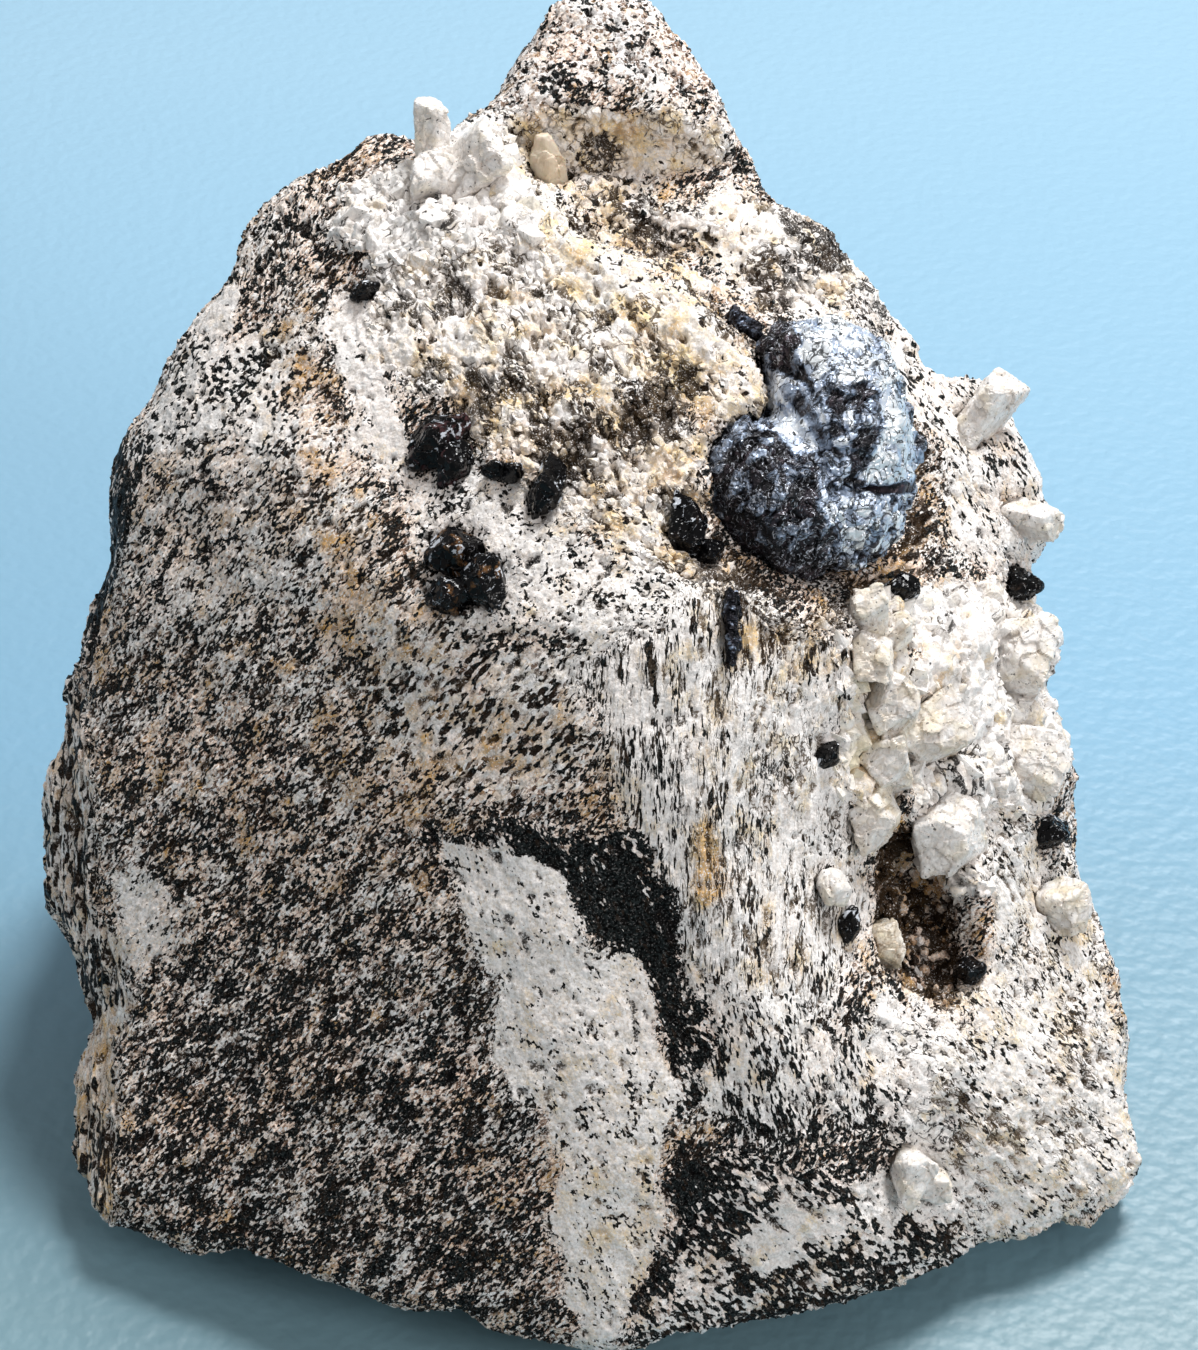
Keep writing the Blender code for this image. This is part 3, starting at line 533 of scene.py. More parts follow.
        angle=118, bumpy=0.18, lumpy=0.2),
    "veinFoot": dict(
        outline=[(540, 1110), (600, 1040), (680, 1090), (670, 1150), (640, 1240), (622, 1370),
                 (568, 1370), (560, 1200)],
        soft=2.5, dark=0.17, rust=0.30, cool=0.3, cell=0.4),
    "leftStreaks": dict(
        line=[(92, 610), (62, 690), (55, 760), (62, 840), (80, 900), (92, 960), (84, 1040),
              (76, 1110), (90, 1200)],
        widths=[20, 28, 34, 36, 30, 28, 32, 36, 30],
        soft=1.0, dark=0.5, rust=0.36, cool=0.35, pale=0.6, cell=0.55, stretch=4.5, angle=84,
        ridged=0.5, flat=0.1, size=0.6),
    "tanPatch": dict(line=[(96, 1040), (100, 1110)], width=14, soft=1.5, dark=0.14, rust=0.5, cool=0.2),
    "palePatch": dict(line=[(140, 880), (140, 930)], width=26, soft=2, dark=0.12, rust=0.1, pale=0.8),
    "blackRim": dict(
        line=[(160, 350), (128, 400), (118, 460), (108, 530), (96, 600), (70, 680)],
        widths=[9, 15, 16, 15, 18, 16],
        soft=0.8, dark=0.80, rust=0.06, cool=0.7, stretch=2.5, angle=75, flat=0.2),
}
fieldNames = [key for key in plainRock if key != "angle"]


def lineGap(places, line, closed=False):
    # the distance to the nearest of the line's segments, and how far along the line that is
    starts = line if closed else line[:-1]
    ends = np.roll(line, -1, axis=0)[: len(starts)]
    best = np.full(len(places), np.inf)
    along = np.zeros(len(places))
    for index, (start, end) in enumerate(zip(starts, ends)):
        run = end - start
        part = np.clip((places - start) @ run / max(run @ run, 1e-9), 0, 1)
        gap = np.linalg.norm(places - start - part[:, None] * run, axis=1)
        along = np.where(gap < best, index + part, along)
        best = np.minimum(best, gap)
    return best, along


def outlineGap(places, outline):
    # the distance to the outline, negative inside it: an odd number of edges lies to the right
    inside = np.zeros(len(places), bool)
    for start, end in zip(outline, np.roll(outline, -1, axis=0)):
        spans = (start[1] > places[:, 1]) != (end[1] > places[:, 1])
        rise = end[1] - start[1]
        crossing = start[0] + (places[:, 1] - start[1]) * (end[0] - start[0]) / (rise if rise else 1)
        inside ^= spans & (places[:, 0] < crossing)
    return np.where(inside, -1, 1) * lineGap(places, outline, closed=True)[0]


def zoneShare(zone, places, waver):
    # 1 inside a zone and 0 outside, over a soft and wavering border
    if "outline" in zone:
        gap = outlineGap(places, pictureMm(zone["outline"]))
    else:
        gap, along = lineGap(places, pictureMm(zone["line"]))
        widths = zone.get("widths") or [zone["width"]] * len(zone["line"])
        gap = gap - np.interp(along, range(len(widths)), widths) / sight["pixelsPerMm"]
    return eased(0.5 - (gap + waver * min(zone["soft"], 1.5)) / zone["soft"])


# The rock away from the picture: layers of foliation through the whole block. swings are a
# value's middle and how far the layers take it to both sides; turn and start say how soon a
# surface counts as facing away.
layering = {
    "normal": (0.93, 0.25, 0.28),
    "spacing": 7.0,
    "waver": 9.0,
    "turn": 0.22,
    "start": 0.3,
    "swings": dict(dark=(0.36, 0.16), pale=(0.55, -0.22), cool=(0.45, 0.25)),
    "values": dict(cell=0.6, bumpy=0.35, lumpy=0.25, ridged=0.25, flat=0.25, size=0.75, stretch=2.6),
    "rust": dict(middle=0.18, swing=0.14, size=14),
}
layerNormal = np.array(layering["normal"]) / np.linalg.norm(layering["normal"])
# How much the shares of dark, rust and pits vary from place to place: each noise's size in mm,
# its seed and its strength.
mottling = {
    "dark": ((1.9, 61, 0.10), (5.0, 62, 0.10)),
    "rust": ((4.2, 63, 0.14), (2.6, 65, 0.14)),
    "pits": ((3.4, 64, 1.9),),
}


def doubled(angle):
    # a streak has no front or back, so it is its doubled angle that is blended
    double = math.radians(2 * angle)
    return np.array([math.cos(double), math.sin(double)])


def rockFields(points, normals):
    # every zone's values blended over each other in turn, and over the layered rock where
    # the surface faces away from the picture
    places = seenPlace(points)
    waver = layeredNoise(points, 2.6, 40, 3) + 1.1 * softNoise(points, 7.0, 43)
    values = {key: np.full(len(points), float(plainRock[key])) for key in fieldNames}
    lean = np.tile(doubled(plainRock["angle"]), (len(points), 1))
    for zone in zones.values():
        share = zoneShare(zone, places, waver)
        for key in fieldNames:
            if key in zone:
                values[key] += share * (zone[key] - values[key])
        if "angle" in zone:
            lean += share[:, None] * (doubled(zone["angle"]) - lean)
    angle = np.arctan2(lean[:, 1], lean[:, 0]) / 2
    facing = eased(-(normals @ ahead) / layering["turn"] + layering["start"])
    wander = layeredNoise(points, layering["waver"], 50, 2)
    layer = np.sin((points @ layerNormal / layering["spacing"] + wander) * 2 * math.pi)
    behind = dict(plainRock, **layering["values"])
    for key, (middle, swing) in layering["swings"].items():
        behind[key] = middle + swing * layer
    rust = layering["rust"]
    behind["rust"] = rust["middle"] + rust["swing"] * softNoise(points, rust["size"], 60)
    for key in fieldNames:
        values[key] = behind[key] + facing * (values[key] - behind[key])
    varied = {key: sum(softNoise(points, size, seed) * rise for size, seed, rise in rows)
              for key, rows in mottling.items()}
    values["dark"] = np.clip(values["dark"] + varied["dark"] * np.clip(values["dark"] * 3, 0, 1), 0, 1)
    values["rust"] = values["rust"] + varied["rust"] * np.clip(values["rust"] * 4, 0, 1)
    values["pits"] = values["pits"] * np.clip(1 + varied["pits"], 0.1, 2.6)
    return values, angle, facing


def acrossStreaks(angle, facing):
    # the direction, in space, that the foliation is thin in: square to the streak in the
    # picture plane on the front, the layers' own normal elsewhere
    picture = -np.sin(angle)[:, None] * right + np.cos(angle)[:, None] * upward
    picture = np.where((picture @ layerNormal)[:, None] < 0, -picture, picture)
    mixed = np.where(facing[:, None] > 0.5, picture, layerNormal)
    return unit(mixed)


rock = {
    "spacing": 0.50,
    "triangles": 120000,
    "smoothRounds": 5,
    "flattenRounds": 58,
    "grainSizes": (0.55, 1.0, 1.9),
    "sizeBlend": 0.62,
    "lump": 4.5,
    "crackSize": 1.5,
    "crackStretch": 7.0,
    "crackSharpness": 1.6,
    "pitSize": 0.75,
    "pitShare": 0.55,
    "pitDepth": 1.1,
    "fineSize": 0.45,
    "fineRise": 0.16,
    "angleStep": 15,
    "baseHeight": 0.05,
    "speckle": 0.60,
    "lowered": 0.3,
}
# Fine skins over the front, where the grain shows: which grain sizes and which side of the
# picture, in mm from its middle, each one takes, how often its triangles are halved before
# the relief, how many are kept after it, and how far in mm it lies over its neighbours.
skins = {
    "gneiss_skin_left": dict(sizes=(0, 0.62), across=(-60, -22), halvings=1, kept=160000, lift=0.0),
    "gneiss_skin_middle": dict(sizes=(0, 0.62), across=(-24, 8), halvings=1, kept=175000, lift=0.05),
    "gneiss_skin_right": dict(sizes=(0, 0.62), across=(6, 60), halvings=1, kept=190000, lift=0.0),
    "gneiss_sugar_left": dict(sizes=(0.62, 9), across=(-60, -1), halvings=2, kept=120000, lift=0.10),
    "gneiss_sugar_right": dict(sizes=(0.62, 9), across=(-2, 60), halvings=2, kept=190000, lift=0.15),
}
# where a skin starts, how many faces further it reaches, how deep and over how many rounds of
# averaging its edge dips, and how far the rock must face the picture to lie lower under it
skinReach = {"facing": 0.30, "grown": 3, "dip": 0.7, "rounds": 4, "cover": (0.12, 0.15)}


noiseSpread = 0.37  # the standard deviation of two layers of noise


def spread(share):
    # how far from its middle, in standard deviations, noise must be cut to leave that share:
    # near enough 2.4 d + 4.5 d^3 for a share d from one half
    offset = share - 0.5
    return 2.4 * offset + 4.5 * offset ** 3


def pressed(points, normal, stretch):
    # points drawn apart along a normal and shrunk evenly, so that round cells on them are
    # that many times longer than thick
    along = (points * normal).sum(axis=1) * (stretch - 1)
    return (points + normal * along[:, None]) / np.sqrt(stretch)[:, None]


def streakSpace(values, angle, facing):
    step = math.radians(rock["angleStep"])
    normal = acrossStreaks(np.round(angle / step) * step, facing)
    return normal, np.round(values["stretch"] * 2) / 2


def grainRelief(points, size, seed, pillow=1.0):
    # angular grains: each cell is a facet at its own height and tilt, lower in a crease round
    # it as far as it is a pillow
    near, far, cell, offset = cellNoise(points, size, seed)
    tag = hashed(cell, seed + 7)
    lean = np.stack([hashed(cell, seed + 11 + k) for k in range(3)], axis=-1) - 0.5
    crease = np.clip((far - near) * 3.0, 0, 1)
    height = 0.35 + 0.8 * tag + (1.9 - 0.8 * pillow) * (offset * lean).sum(axis=1)
    height = height * (1 - 0.5 * pillow * (1 - crease)) - 0.6
    return height, tag, crease


def rockRelief(points, values, angle, facing):
    # grains of three sizes, lumps as soft noise, cracks as thin lines where drawn-out noise
    # crosses its middle, and pits between the grains
    normal, stretch = streakSpace(values, angle, facing)
    grains = pressed(points, normal, stretch)
    relief = np.zeros(len(points))
    marks = {"tone": np.zeros(len(points)), "crease": np.zeros(len(points))}
    sizes = np.clip(values["size"], rock["grainSizes"][0], rock["grainSizes"][-1])
    total = np.zeros(len(points))
    for order, size in enumerate(rock["grainSizes"]):
        share = np.clip(1 - np.abs(np.log(sizes / size)) / rock["sizeBlend"], 0, 1)
        here = share > 0
        height, tag, crease = grainRelief(grains[here], size, 70 + 20 * order, 1.0 - 0.5 * (size > 1.5))
        relief[here] += share[here] * height * (size / 0.9) ** 0.5
        marks["tone"][here] += share[here] * tag
        marks["crease"][here] += share[here] * crease
        total += share
    relief /= total
    marks = {key: mark / total for key, mark in marks.items()}
    drawn = pressed(points, normal, np.full(len(points), rock["crackStretch"]))
    wave = softNoise(drawn, rock["crackSize"], 95) + 0.35 * softNoise(drawn, rock["crackSize"] / 3, 96)
    crack = (1 - np.clip(np.abs(wave) * rock["crackSharpness"], 0, 1)) ** 2
    holes = layeredNoise(grains, rock["pitSize"], 98, 2) / noiseSpread
    pit = eased((holes + spread(values["pits"] * rock["pitShare"])) * 1.3 + 0.5)
    fine = layeredNoise(points, rock["fineSize"], 99, 2)
    relief = values["bumpy"] * (relief - rock["pitDepth"] * pit + rock["fineRise"] * fine)
    relief += values["lumpy"] * layeredNoise(points, rock["lump"], 90, 2)
    relief += values["ridged"] * (0.5 * wave - 0.7 * crack)
    # the pits and cracks, where the shader paints shade and dirt
    marks["pit"] = np.clip(pit + crack * np.clip(values["ridged"] * 2.2, 0, 0.8), 0, 1)
    return relief, marks


def grainPlaces(points, faces, values, angle, facing):
    # each triangle's corners drawn out along the streaks, for the speckle
    normal, stretch = streakSpace(values, angle, facing)
    first = faces[:, 0]
    cell = np.round(values["cell"][first] * 10) / 10 * rock["speckle"]
    corners = [pressed(points[faces[:, k]], normal[first], stretch[first]) / cell[:, None] for k in range(3)]
    return {"grainSpace": np.stack(corners, axis=1)}


def shownFields(values, marks):
    fields = {key: values[key] for key in ("rust", "cool", "pale", "pits")}
    return dict(fields, darkLevel=spread(values["dark"]), **marks)


def dressed(name, points, faces, rest, finish, replaced=()):
    # a piece of rock with the fields and the grain marks of its places at rest
    values, angle, facing = rockFields(rest, normalsOf(rest, faces))
    _, marks = rockRelief(rest, values, angle, facing)
    fields = shownFields(values, marks)
    cornerFields = grainPlaces(rest, faces, values, angle, facing)
    makePiece(name, points, faces, finish, replaced, True, fields, cornerFields)


def rockBase():
    # the CAD form with its facets smoothed away, most where the photo shows an even surface, and
    # with what every later step asks of it
    points, faces = resampled("gneiss_matrix", rock["spacing"])
    print(f"rock sampled: {len(points)} points")
    points = relaxed(points, faces, rock["smoothRounds"], 0.5)
    normals = normalsOf(points, faces)
    values, angle, facing = rockFields(points, normals)
    onBase = points[:, 2] < rock["baseHeight"] + 0.3
    calm = np.where(onBase, 0, np.clip(values["flat"], 0, 1) * facing) * 0.6
    points = relaxed(points, faces, rock["flattenRounds"], calm)
    print("rock smoothed")
    normals = normalsOf(points, faces)
    values, angle, facing = rockFields(points, normals)
    return dict(points=points, faces=faces, normals=normals, values=values, angle=angle, facing=facing)


def roughened(points, faces, lift):
    # the points with the relief applied
    normals = normalsOf(points, faces)
    relief, _ = rockRelief(points, *rockFields(points, normals))
    relief = (relief + lift) * eased((points[:, 2] - rock["baseHeight"]) / 0.6)
    points = points + normals * relief[:, None]
    points[:, 2] = np.maximum(points[:, 2], 0)
    return points


def buildRock(base, finish):
    # the whole rock, a little lower where the skins cover it
    start, soft = skinReach["cover"]
    covered = eased((-(base["normals"] @ ahead) - start) / soft)
    points = roughened(base["points"], base["faces"], -rock["lowered"] * covered)
    points, faces, rest = thinned(points, base["faces"], rock["triangles"], base["points"])
    dressed("gneiss_rock", points, faces, rest, finish, ["gneiss_matrix"])


def halved(points, faces, field):
    # every triangle cut into four at the middles of its edges
    sides = np.sort(sidesOf(faces), axis=1)
    keys, index = np.unique(sides[:, 0].astype(np.int64) * len(points) + sides[:, 1], return_inverse=True)
    ends = np.stack([keys // len(points), keys % len(points)], axis=1)
    middle = index.reshape(3, -1) + len(points)
    a, b, c = faces.T
    ab, bc, ca = middle
    cut = [(a, ab, ca), (ab, b, bc), (ca, bc, c), (ab, bc, ca)]
    faces = np.concatenate([np.stack(corners, axis=1) for corners in cut])
    points = np.concatenate([points, points[ends].mean(axis=1)])
    return points, faces, np.concatenate([field, field[ends].mean(axis=1)])


def grown(chosen, faces, count, rounds):
    # faces chosen, and those that touch them, that many times over
    for _ in range(rounds):
        touched = np.zeros(count, bool)
        touched[faces[chosen]] = True
        chosen = touched[faces].any(axis=1)
    return chosen


def buildSkin(name, skin, base, finish):
    points, faces = base["points"], base["faces"]
    values, facing = base["values"], base["facing"]
    first = faces[:, 0]
    size = values["size"][first]
    across = seenPlace(points)[first, 0]
    chosen = (facing[first] > skinReach["facing"]) & (size >= skin["sizes"][0]) & (size < skin["sizes"][1])
    chosen &= (across > skin["across"][0]) & (across < skin["across"][1])
    chosen = grown(chosen, faces, len(points), skinReach["grown"])
    used, index = np.unique(faces[chosen], return_inverse=True)
    faces = index.reshape(-1, 3)
    points = points[used]
    # 1 well inside the skin and 0 at its edge, where it dips under the rock
    sides = sidesOf(faces)
    keys, counts = np.unique(np.sort(sides, axis=1) @ [len(points), 1], return_counts=True)
    rim = keys[counts == 1]
    edge = np.zeros(len(points), bool)
    edge[rim // len(points)] = True
    edge[rim % len(points)] = True
    inner = np.where(edge, 0.0, 1.0)
    for _ in range(skinReach["rounds"]):
        total = np.bincount(sides[:, 0], inner[sides[:, 1]], len(points))
        inner = np.where(edge, 0, total / np.bincount(sides[:, 0], minlength=len(points)))
    for _ in range(skin["halvings"]):
        points, faces, inner = halved(points, faces, inner)
    dip = skin["lift"] - skinReach["dip"] * (1 - eased(inner * 1.6))
    points, faces, rest = thinned(roughened(points, faces, dip), faces, skin["kept"], points)
    dressed(name, points, faces, rest, finish)


def gneissFinish():
    # Black mica where fractal noise is over the level that leaves the zone's dark share; the
    # rest is a mosaic of pale grains, each with its own tone, and stained. Pits, the creases
    # between grains and the crevices are painted dark: painted shade, brown like dirt in rusty
    # zones. The crevices wind along the lines where another noise crosses its middle, wider
    # where there are more pits.
    finish = Finish("gneiss_speckled", IOR=1.5, Specular_IOR_Level=0.05)
    space = finish.field("grainSpace", "Vector")
    here = finish.objectPlace()
    level, rust, cool, pale, pits = finish.fields("darkLevel", "rust", "cool", "pale", "pits")
    tone, crease, pit = finish.fields("tone", "crease", "pit")
    cluster = finish.noise(space, 7.0, 2.0)
    speckle = finish.noise(space, 1.4, 2.5)
    hue = finish.noise(space, 3.5, 2.0)
    fine = finish.noise(here, 0.22, 3.0)
    broad = finish.noise(here, 2.2, 2.0)
    spark = finish.noise(here, 0.15, 1.0)
    web = (finish.noise(space, 2.6, 2.5, 0.8) - 0.5).absolute()
    first, second, third = finish.cellTones(space, 1.0)
    isDark = (((speckle - 0.5) * 7.5 + level + (cluster - 0.5) * 4.8) * 3.6 + 0.5).clamped()
    # the pale grains
    grain = (tone * 0.3 + first * 0.7 + (fine - 0.5) * 0.5).clamped()
    dull = finish.ramp(grain, [(0.1, (0.032, 0.020, 0.014)), (0.85, (0.86, 0.78, 0.72)),
                               (0.42, (0.185, 0.128, 0.096)), (0.65, (0.42, 0.335, 0.282))])
    bright = finish.blend(cool, palette["cream"], palette["coolWhite"])
    bright = finish.blend(grain.between(0.1, 0.6), bright, palette["white"])
    bright = finish.blend((0.22 - third).between(0.0, 0.04) * 0.5, bright, palette["glassGrey"])
    tint = finish.noise(here, 5.0, 2.5).between(0.40, 0.58)
    isPale = ((pale * 1.15 - second) * 4.0 + (fine - 0.5) * 1.2 + 0.5).clamped()
    light = finish.blend(isPale, dull, bright)
    light = finish.blend(tint * (1.0 - pale * 0.9), light, (1.16, 0.93, 0.78), "MULTIPLY")
    light = finish.blend(second.between(0.80, 0.83) * 0.95, light, palette["white"])
    stained = finish.blend(hue.between(0.35, 0.65), palette["tan"], palette["gold"])
    paleStain = finish.blend(hue.between(0.35, 0.60), palette["paleTan"], palette["paleGold"])
    stained = finish.blend(pale.between(0.5, 1.0), stained, paleStain)
    isStained = (rust * 1.6 - 0.50 + (broad - 0.5) * 3.4 + (third - 0.5) * 0.6).clamped()
    light = finish.blend(isStained * (fine.between(0.3, 0.6) * 0.35 + 0.65), light, stained)
    # the dark ones
    mica = finish.blend(fine.between(0.42, 0.62), palette["black"], palette["slate"])
    mica = finish.blend((rust - third).between(-0.15, 0.0) * 0.7, mica, palette["brown"])
    colour = finish.blend(isDark, light, mica)
    # painted shade in pits, grain creases and crevices: near black, and brown like dirt where the rock is
    # rusty
    pitShadeAndDirt = finish.blend(rust.between(0.1, 0.5), (0.007, 0.006, 0.006), (0.042, 0.025, 0.013))
    isShallow = (0.45 - pits).between(0.0, 0.3) * pale.between(0.8, 1.0) * rust.between(0.1, 0.3)
    pitShadeAndDirt = finish.blend(isShallow * 0.6, pitShadeAndDirt, (0.26, 0.195, 0.13))
    creaseShadeAndStain = (1.0 - crease) * (0.42 - pale * 0.30)
    isShadedPit = ((pit * 0.85 + (fine - 0.5) * 1.8 + creaseShadeAndStain - 0.52) * 2.5).clamped()
    isShadedCrevice = (pits * 0.17 + 0.003 - web).between(0.0, 0.016) * fine.between(0.30, 0.42)
    isShadedCrevice = isShadedCrevice * cluster.between(0.40, 0.50)
    colour = finish.blend((isShadedPit + isShadedCrevice).clamped() * 0.93, colour, pitShadeAndDirt)
    mottle = finish.grey((fine - 0.5) * (2.6 - pale * 1.6) + 1.0)
    colour = finish.blend(1.0, colour, mottle, "MULTIPLY")
    glint = spark.between(0.62, 0.65) * (0.85 - isDark * 0.75)
    colour = finish.blend(glint, colour, (0.92, 0.89, 0.87))
    height = fine * 0.6 + first * 0.5 + isDark * -0.5 + isShadedCrevice * -0.8
    normal = finish.bump(height, 0.16, 0.8)
    rough = first * -0.35 + 0.62 + isDark * -0.1
    return finish.shown(Base_Color=colour, Roughness=rough, Normal=normal)


# Grain shapes, each a closed convex body round the origin: points and triangles.
goldenAngle = 2.39996


def chip():
    # twelve points scattered over a ball, on a spiral of golden-angle steps, and their hull
    count = 12
    points = []
    for step in range(count):
        height = 1 - (2 * step + 1) / count
        turn = step * goldenAngle
        ring = math.sqrt(1 - height * height)
        points.append(Vector((ring * math.cos(turn), ring * math.sin(turn), height)) * 0.52)
    return hullOf(points)


def crystalTip():
    # a stubby six-sided crystal with a blunt tip that is off its middle
    rings = [(-0.5, 0.46, 0.0, 6), (0.2, 0.5, 0.0, 6), (0.5, 0.16, 0.1, 3)]
    points = []
    for height, radius, shift, count in rings:
        for step in range(count):
            turn = 2 * math.pi * step / count
            points.append(Vector((radius * math.cos(turn) + shift, radius * math.sin(turn), height)))
    return hullOf(points)


def hullOf(points):
    work = bmesh.new()
    for point in points:
        work.verts.new(point)
    bmesh.ops.convex_hull(work, input=work.verts)
    bmesh.ops.triangulate(work, faces=work.faces)
    bmesh.ops.recalc_face_normals(work, faces=work.faces)
    work.verts.index_update()
    corners = np.array([vert.co for vert in work.verts])
    triangles = np.array([[vert.index for vert in face.verts] for face in work.faces])
    work.free()
    return corners, triangles


grainShapes = {"chip": chip(), "tip": crystalTip()}

# Pieces of raised grains: the grain sizes, in mm, of the rock that each lies on, how far apart
# its grains keep, and how long, wide and high they are, as shares of their size; how far they
# tilt, and how deep they sit.
grainPieces = {
    "sugar_grains": dict(seed=11, most=5600, shape="chip", crowd=1.5, sizes=(0.62, 1.25),
                         form=(1.0, 0.9, 0.85), tilt=0.5, sink=-0.26),
    "quartz_crust": dict(seed=12, most=3000, shape="tip", crowd=0.78, sizes=(1.25, 9.0),
                         form=(0.85, 0.75, 1.25), tilt=0.75, sink=-0.30),
}
grainLook = {"turn": 0.7, "sizeSpread": 0.32, "jitter": 0.16, "flatness": (0.7, 1.1)}


def scattered(base, piece, chance):
    # places drawn on the faces by area, thinned where they crowd a cell, and a point of the
    # rock that is near each
    points, faces = base["points"], base["faces"]
    corner = faces[:, 0]
    size = base["values"]["size"][corner]
    seen = (base["facing"][corner] > 0.4) & (base["normals"][corner] @ ahead < -0.18)
    taken = seen & (size >= piece["sizes"][0]) & (size < piece["sizes"][1])
    area = np.linalg.norm(faceNormals(points, faces), axis=1) / 2 * taken
    picked = chance.choice(len(faces), piece["most"] * 5, p=area / area.sum())
    split = chance.random((len(picked), 2))
    split = np.where(split.sum(axis=1, keepdims=True) > 1, 1 - split, split)
    a, b, c = points[faces[picked]].transpose(1, 0, 2)
    places = a + split[:, :1] * (b - a) + split[:, 1:] * (c - a)
    room = size[picked] * piece["crowd"]
    _, kept = np.unique(np.floor(places / room[:, None]), axis=0, return_index=True)
    kept = chance.permutation(kept)[: piece["most"]]
    return places[kept], faces[picked[kept], 0]


def grainPiece(name, piece, base, finish):
    # every grain is a jittered copy of its shape, turned roughly along the streak it lies on
    chance = np.random.default_rng(piece["seed"])
    places, nearest = scattered(base, piece, chance)
    values = {key: field[nearest] for key, field in base["values"].items()}
    angle = base["angle"][nearest]
    rising = base["normals"][nearest]
    corners, triangles = grainShapes[piece["shape"]]
    count, each = len(places), len(corners)
    normal = unit(rising + chance.normal(0, piece["tilt"], (count, 3)))
    streak = np.cos(angle)[:, None] * right + np.sin(angle)[:, None] * upward
    stretch = np.sqrt(values["stretch"])
    long = streak + chance.normal(0, grainLook["turn"], (count, 3))
    long = unit(long - normal * (long * normal).sum(axis=1, keepdims=True))
    wide = np.cross(normal, long)
    size = values["size"] * np.exp(chance.normal(0, grainLook["sizeSpread"], count))
    flat = chance.uniform(*grainLook["flatness"], count)
    shape = np.stack([size * stretch, size / stretch, size * flat / np.sqrt(stretch)], axis=1)
    shape *= piece["form"]
    jitter = 1 + chance.normal(0, grainLook["jitter"], (count, each, 1))
    local = corners[None] * jitter * shape[:, None, :]
    axes = np.stack([long, wide, normal], axis=1)
    middle = places + rising * (shape[:, 2:] * piece["sink"])
    world = middle[:, None, :] + np.einsum("gck,gkx->gcx", local, axes)
    world[..., 2] = np.maximum(world[..., 2], rock["baseHeight"])
    points = world.reshape(-1, 3)
    faces = (triangles[None] + (np.arange(count) * each)[:, None, None]).reshape(-1, 3)
    foot = (local[..., 2] / shape[:, None, 2]).ravel()
    own = {key: np.repeat(field, each) for key, field in values.items()}
    # each grain's lower part is marked as crease and pit, so the shader paints it darker: painted shade at
    # the grain's foot
    marks = {
        "tone": np.repeat(chance.random(count), each),
        "crease": np.clip(0.8 + foot, 0, 1),
        "pit": np.clip(0.10 - foot, 0, 1) * np.clip(own["pits"] * 3, 0.1, 1),
    }
    facing = np.repeat(base["facing"][nearest], each)
    cornerFields = grainPlaces(points, faces, own, np.repeat(angle, each), facing)
    makePiece(name, points, faces, finish, (), False, shownFields(own, marks), cornerFields)


# The hematite nodule.
nodule = {
    "spacing": 0.16,
    "triangles": 130000,
    "leaves": (("leaf", 3.2, 0.50, 0.45), ("crinkle", 0.95, 0.40, 0.12), ("foil", 0.42, 0.16, 0.10)),
    "pillow": 0.35,
    "smoothRounds": 6,
    "lift": 0.10,
}
# bright is how light each part of the nodule is painted: partly the ore's own lustre and tarnish, partly
# painted reflection on the sheets that face the light and painted shade where parts turn away from it
noduleZones = {
    "upperSheet": dict(outline=[(795, 314), (845, 316), (880, 345), (897, 385), (870, 392), (830, 384),
                                (800, 372), (790, 345)], soft=0.8, bright=0.95, smooth=0.4),
    "darkCap": dict(outline=[(760, 330), (790, 314), (798, 345), (795, 372), (770, 368)],
                    soft=0.6, bright=0.06, smooth=0.0),
    "ovalFacet": dict(outline=[(770, 372), (800, 378), (818, 400), (829, 425), (832, 446), (815, 453),
                               (790, 448), (772, 428), (764, 400)], soft=0.4, bright=0.84, smooth=0.65),
    "ovalBand": dict(line=[(790, 392), (812, 420), (822, 440)], width=5, soft=0.5, bright=0.36, smooth=0.7),
    "crackled": dict(outline=[(822, 385), (870, 392), (880, 420), (872, 465), (835, 468), (834, 430)],
                     soft=0.7, bright=0.42, smooth=0.0),
    "rightSheet": dict(outline=[(878, 372), (895, 385), (917, 430), (918, 455), (905, 486), (880, 487),
                                (852, 478), (870, 468), (884, 430), (876, 395)],
                       soft=0.5, bright=1.0, smooth=0.7),
    "lowerSheet": dict(outline=[(838, 492), (905, 492), (914, 520), (892, 545), (845, 560), (820, 520),
                                (815, 490)], soft=0.7, bright=0.8, smooth=0.15),
    "slit": dict(line=[(854, 486), (880, 490), (905, 487)], width=4, soft=0.3, bright=0.0, smooth=1.0),
    "darkFlank": dict(outline=[(690, 440), (740, 410), (768, 452), (815, 460), (822, 500), (838, 540),
                               (835, 580), (790, 600), (735, 580), (700, 500)],
                      soft=0.8, bright=0.20, smooth=0.1),
    "foot": dict(outline=[(735, 545), (800, 552), (870, 568), (830, 590), (760, 605), (730, 590)],
                 soft=0.8, bright=0.04, smooth=0.1),
}
# hematite's colours from its darkest leaves to its brightest
steel = [(0.0, (0.006, 0.006, 0.008)), (0.28, (0.026, 0.026, 0.034)), (0.52, (0.28, 0.35, 0.47)),
         (0.75, (0.62, 0.71, 0.86)), (1.0, (0.91, 0.96, 1.0))]


def noduleFields(points):
    places = seenPlace(points)
    waver = softNoise(points, 1.5, 140)
    values = {"bright": np.full(len(points), 0.45), "smooth": np.zeros(len(points))}
    for zone in noduleZones.values():
        share = zoneShare(zone, places, waver)
        for key in values:
            values[key] += share * (zone[key] - values[key])
    return values


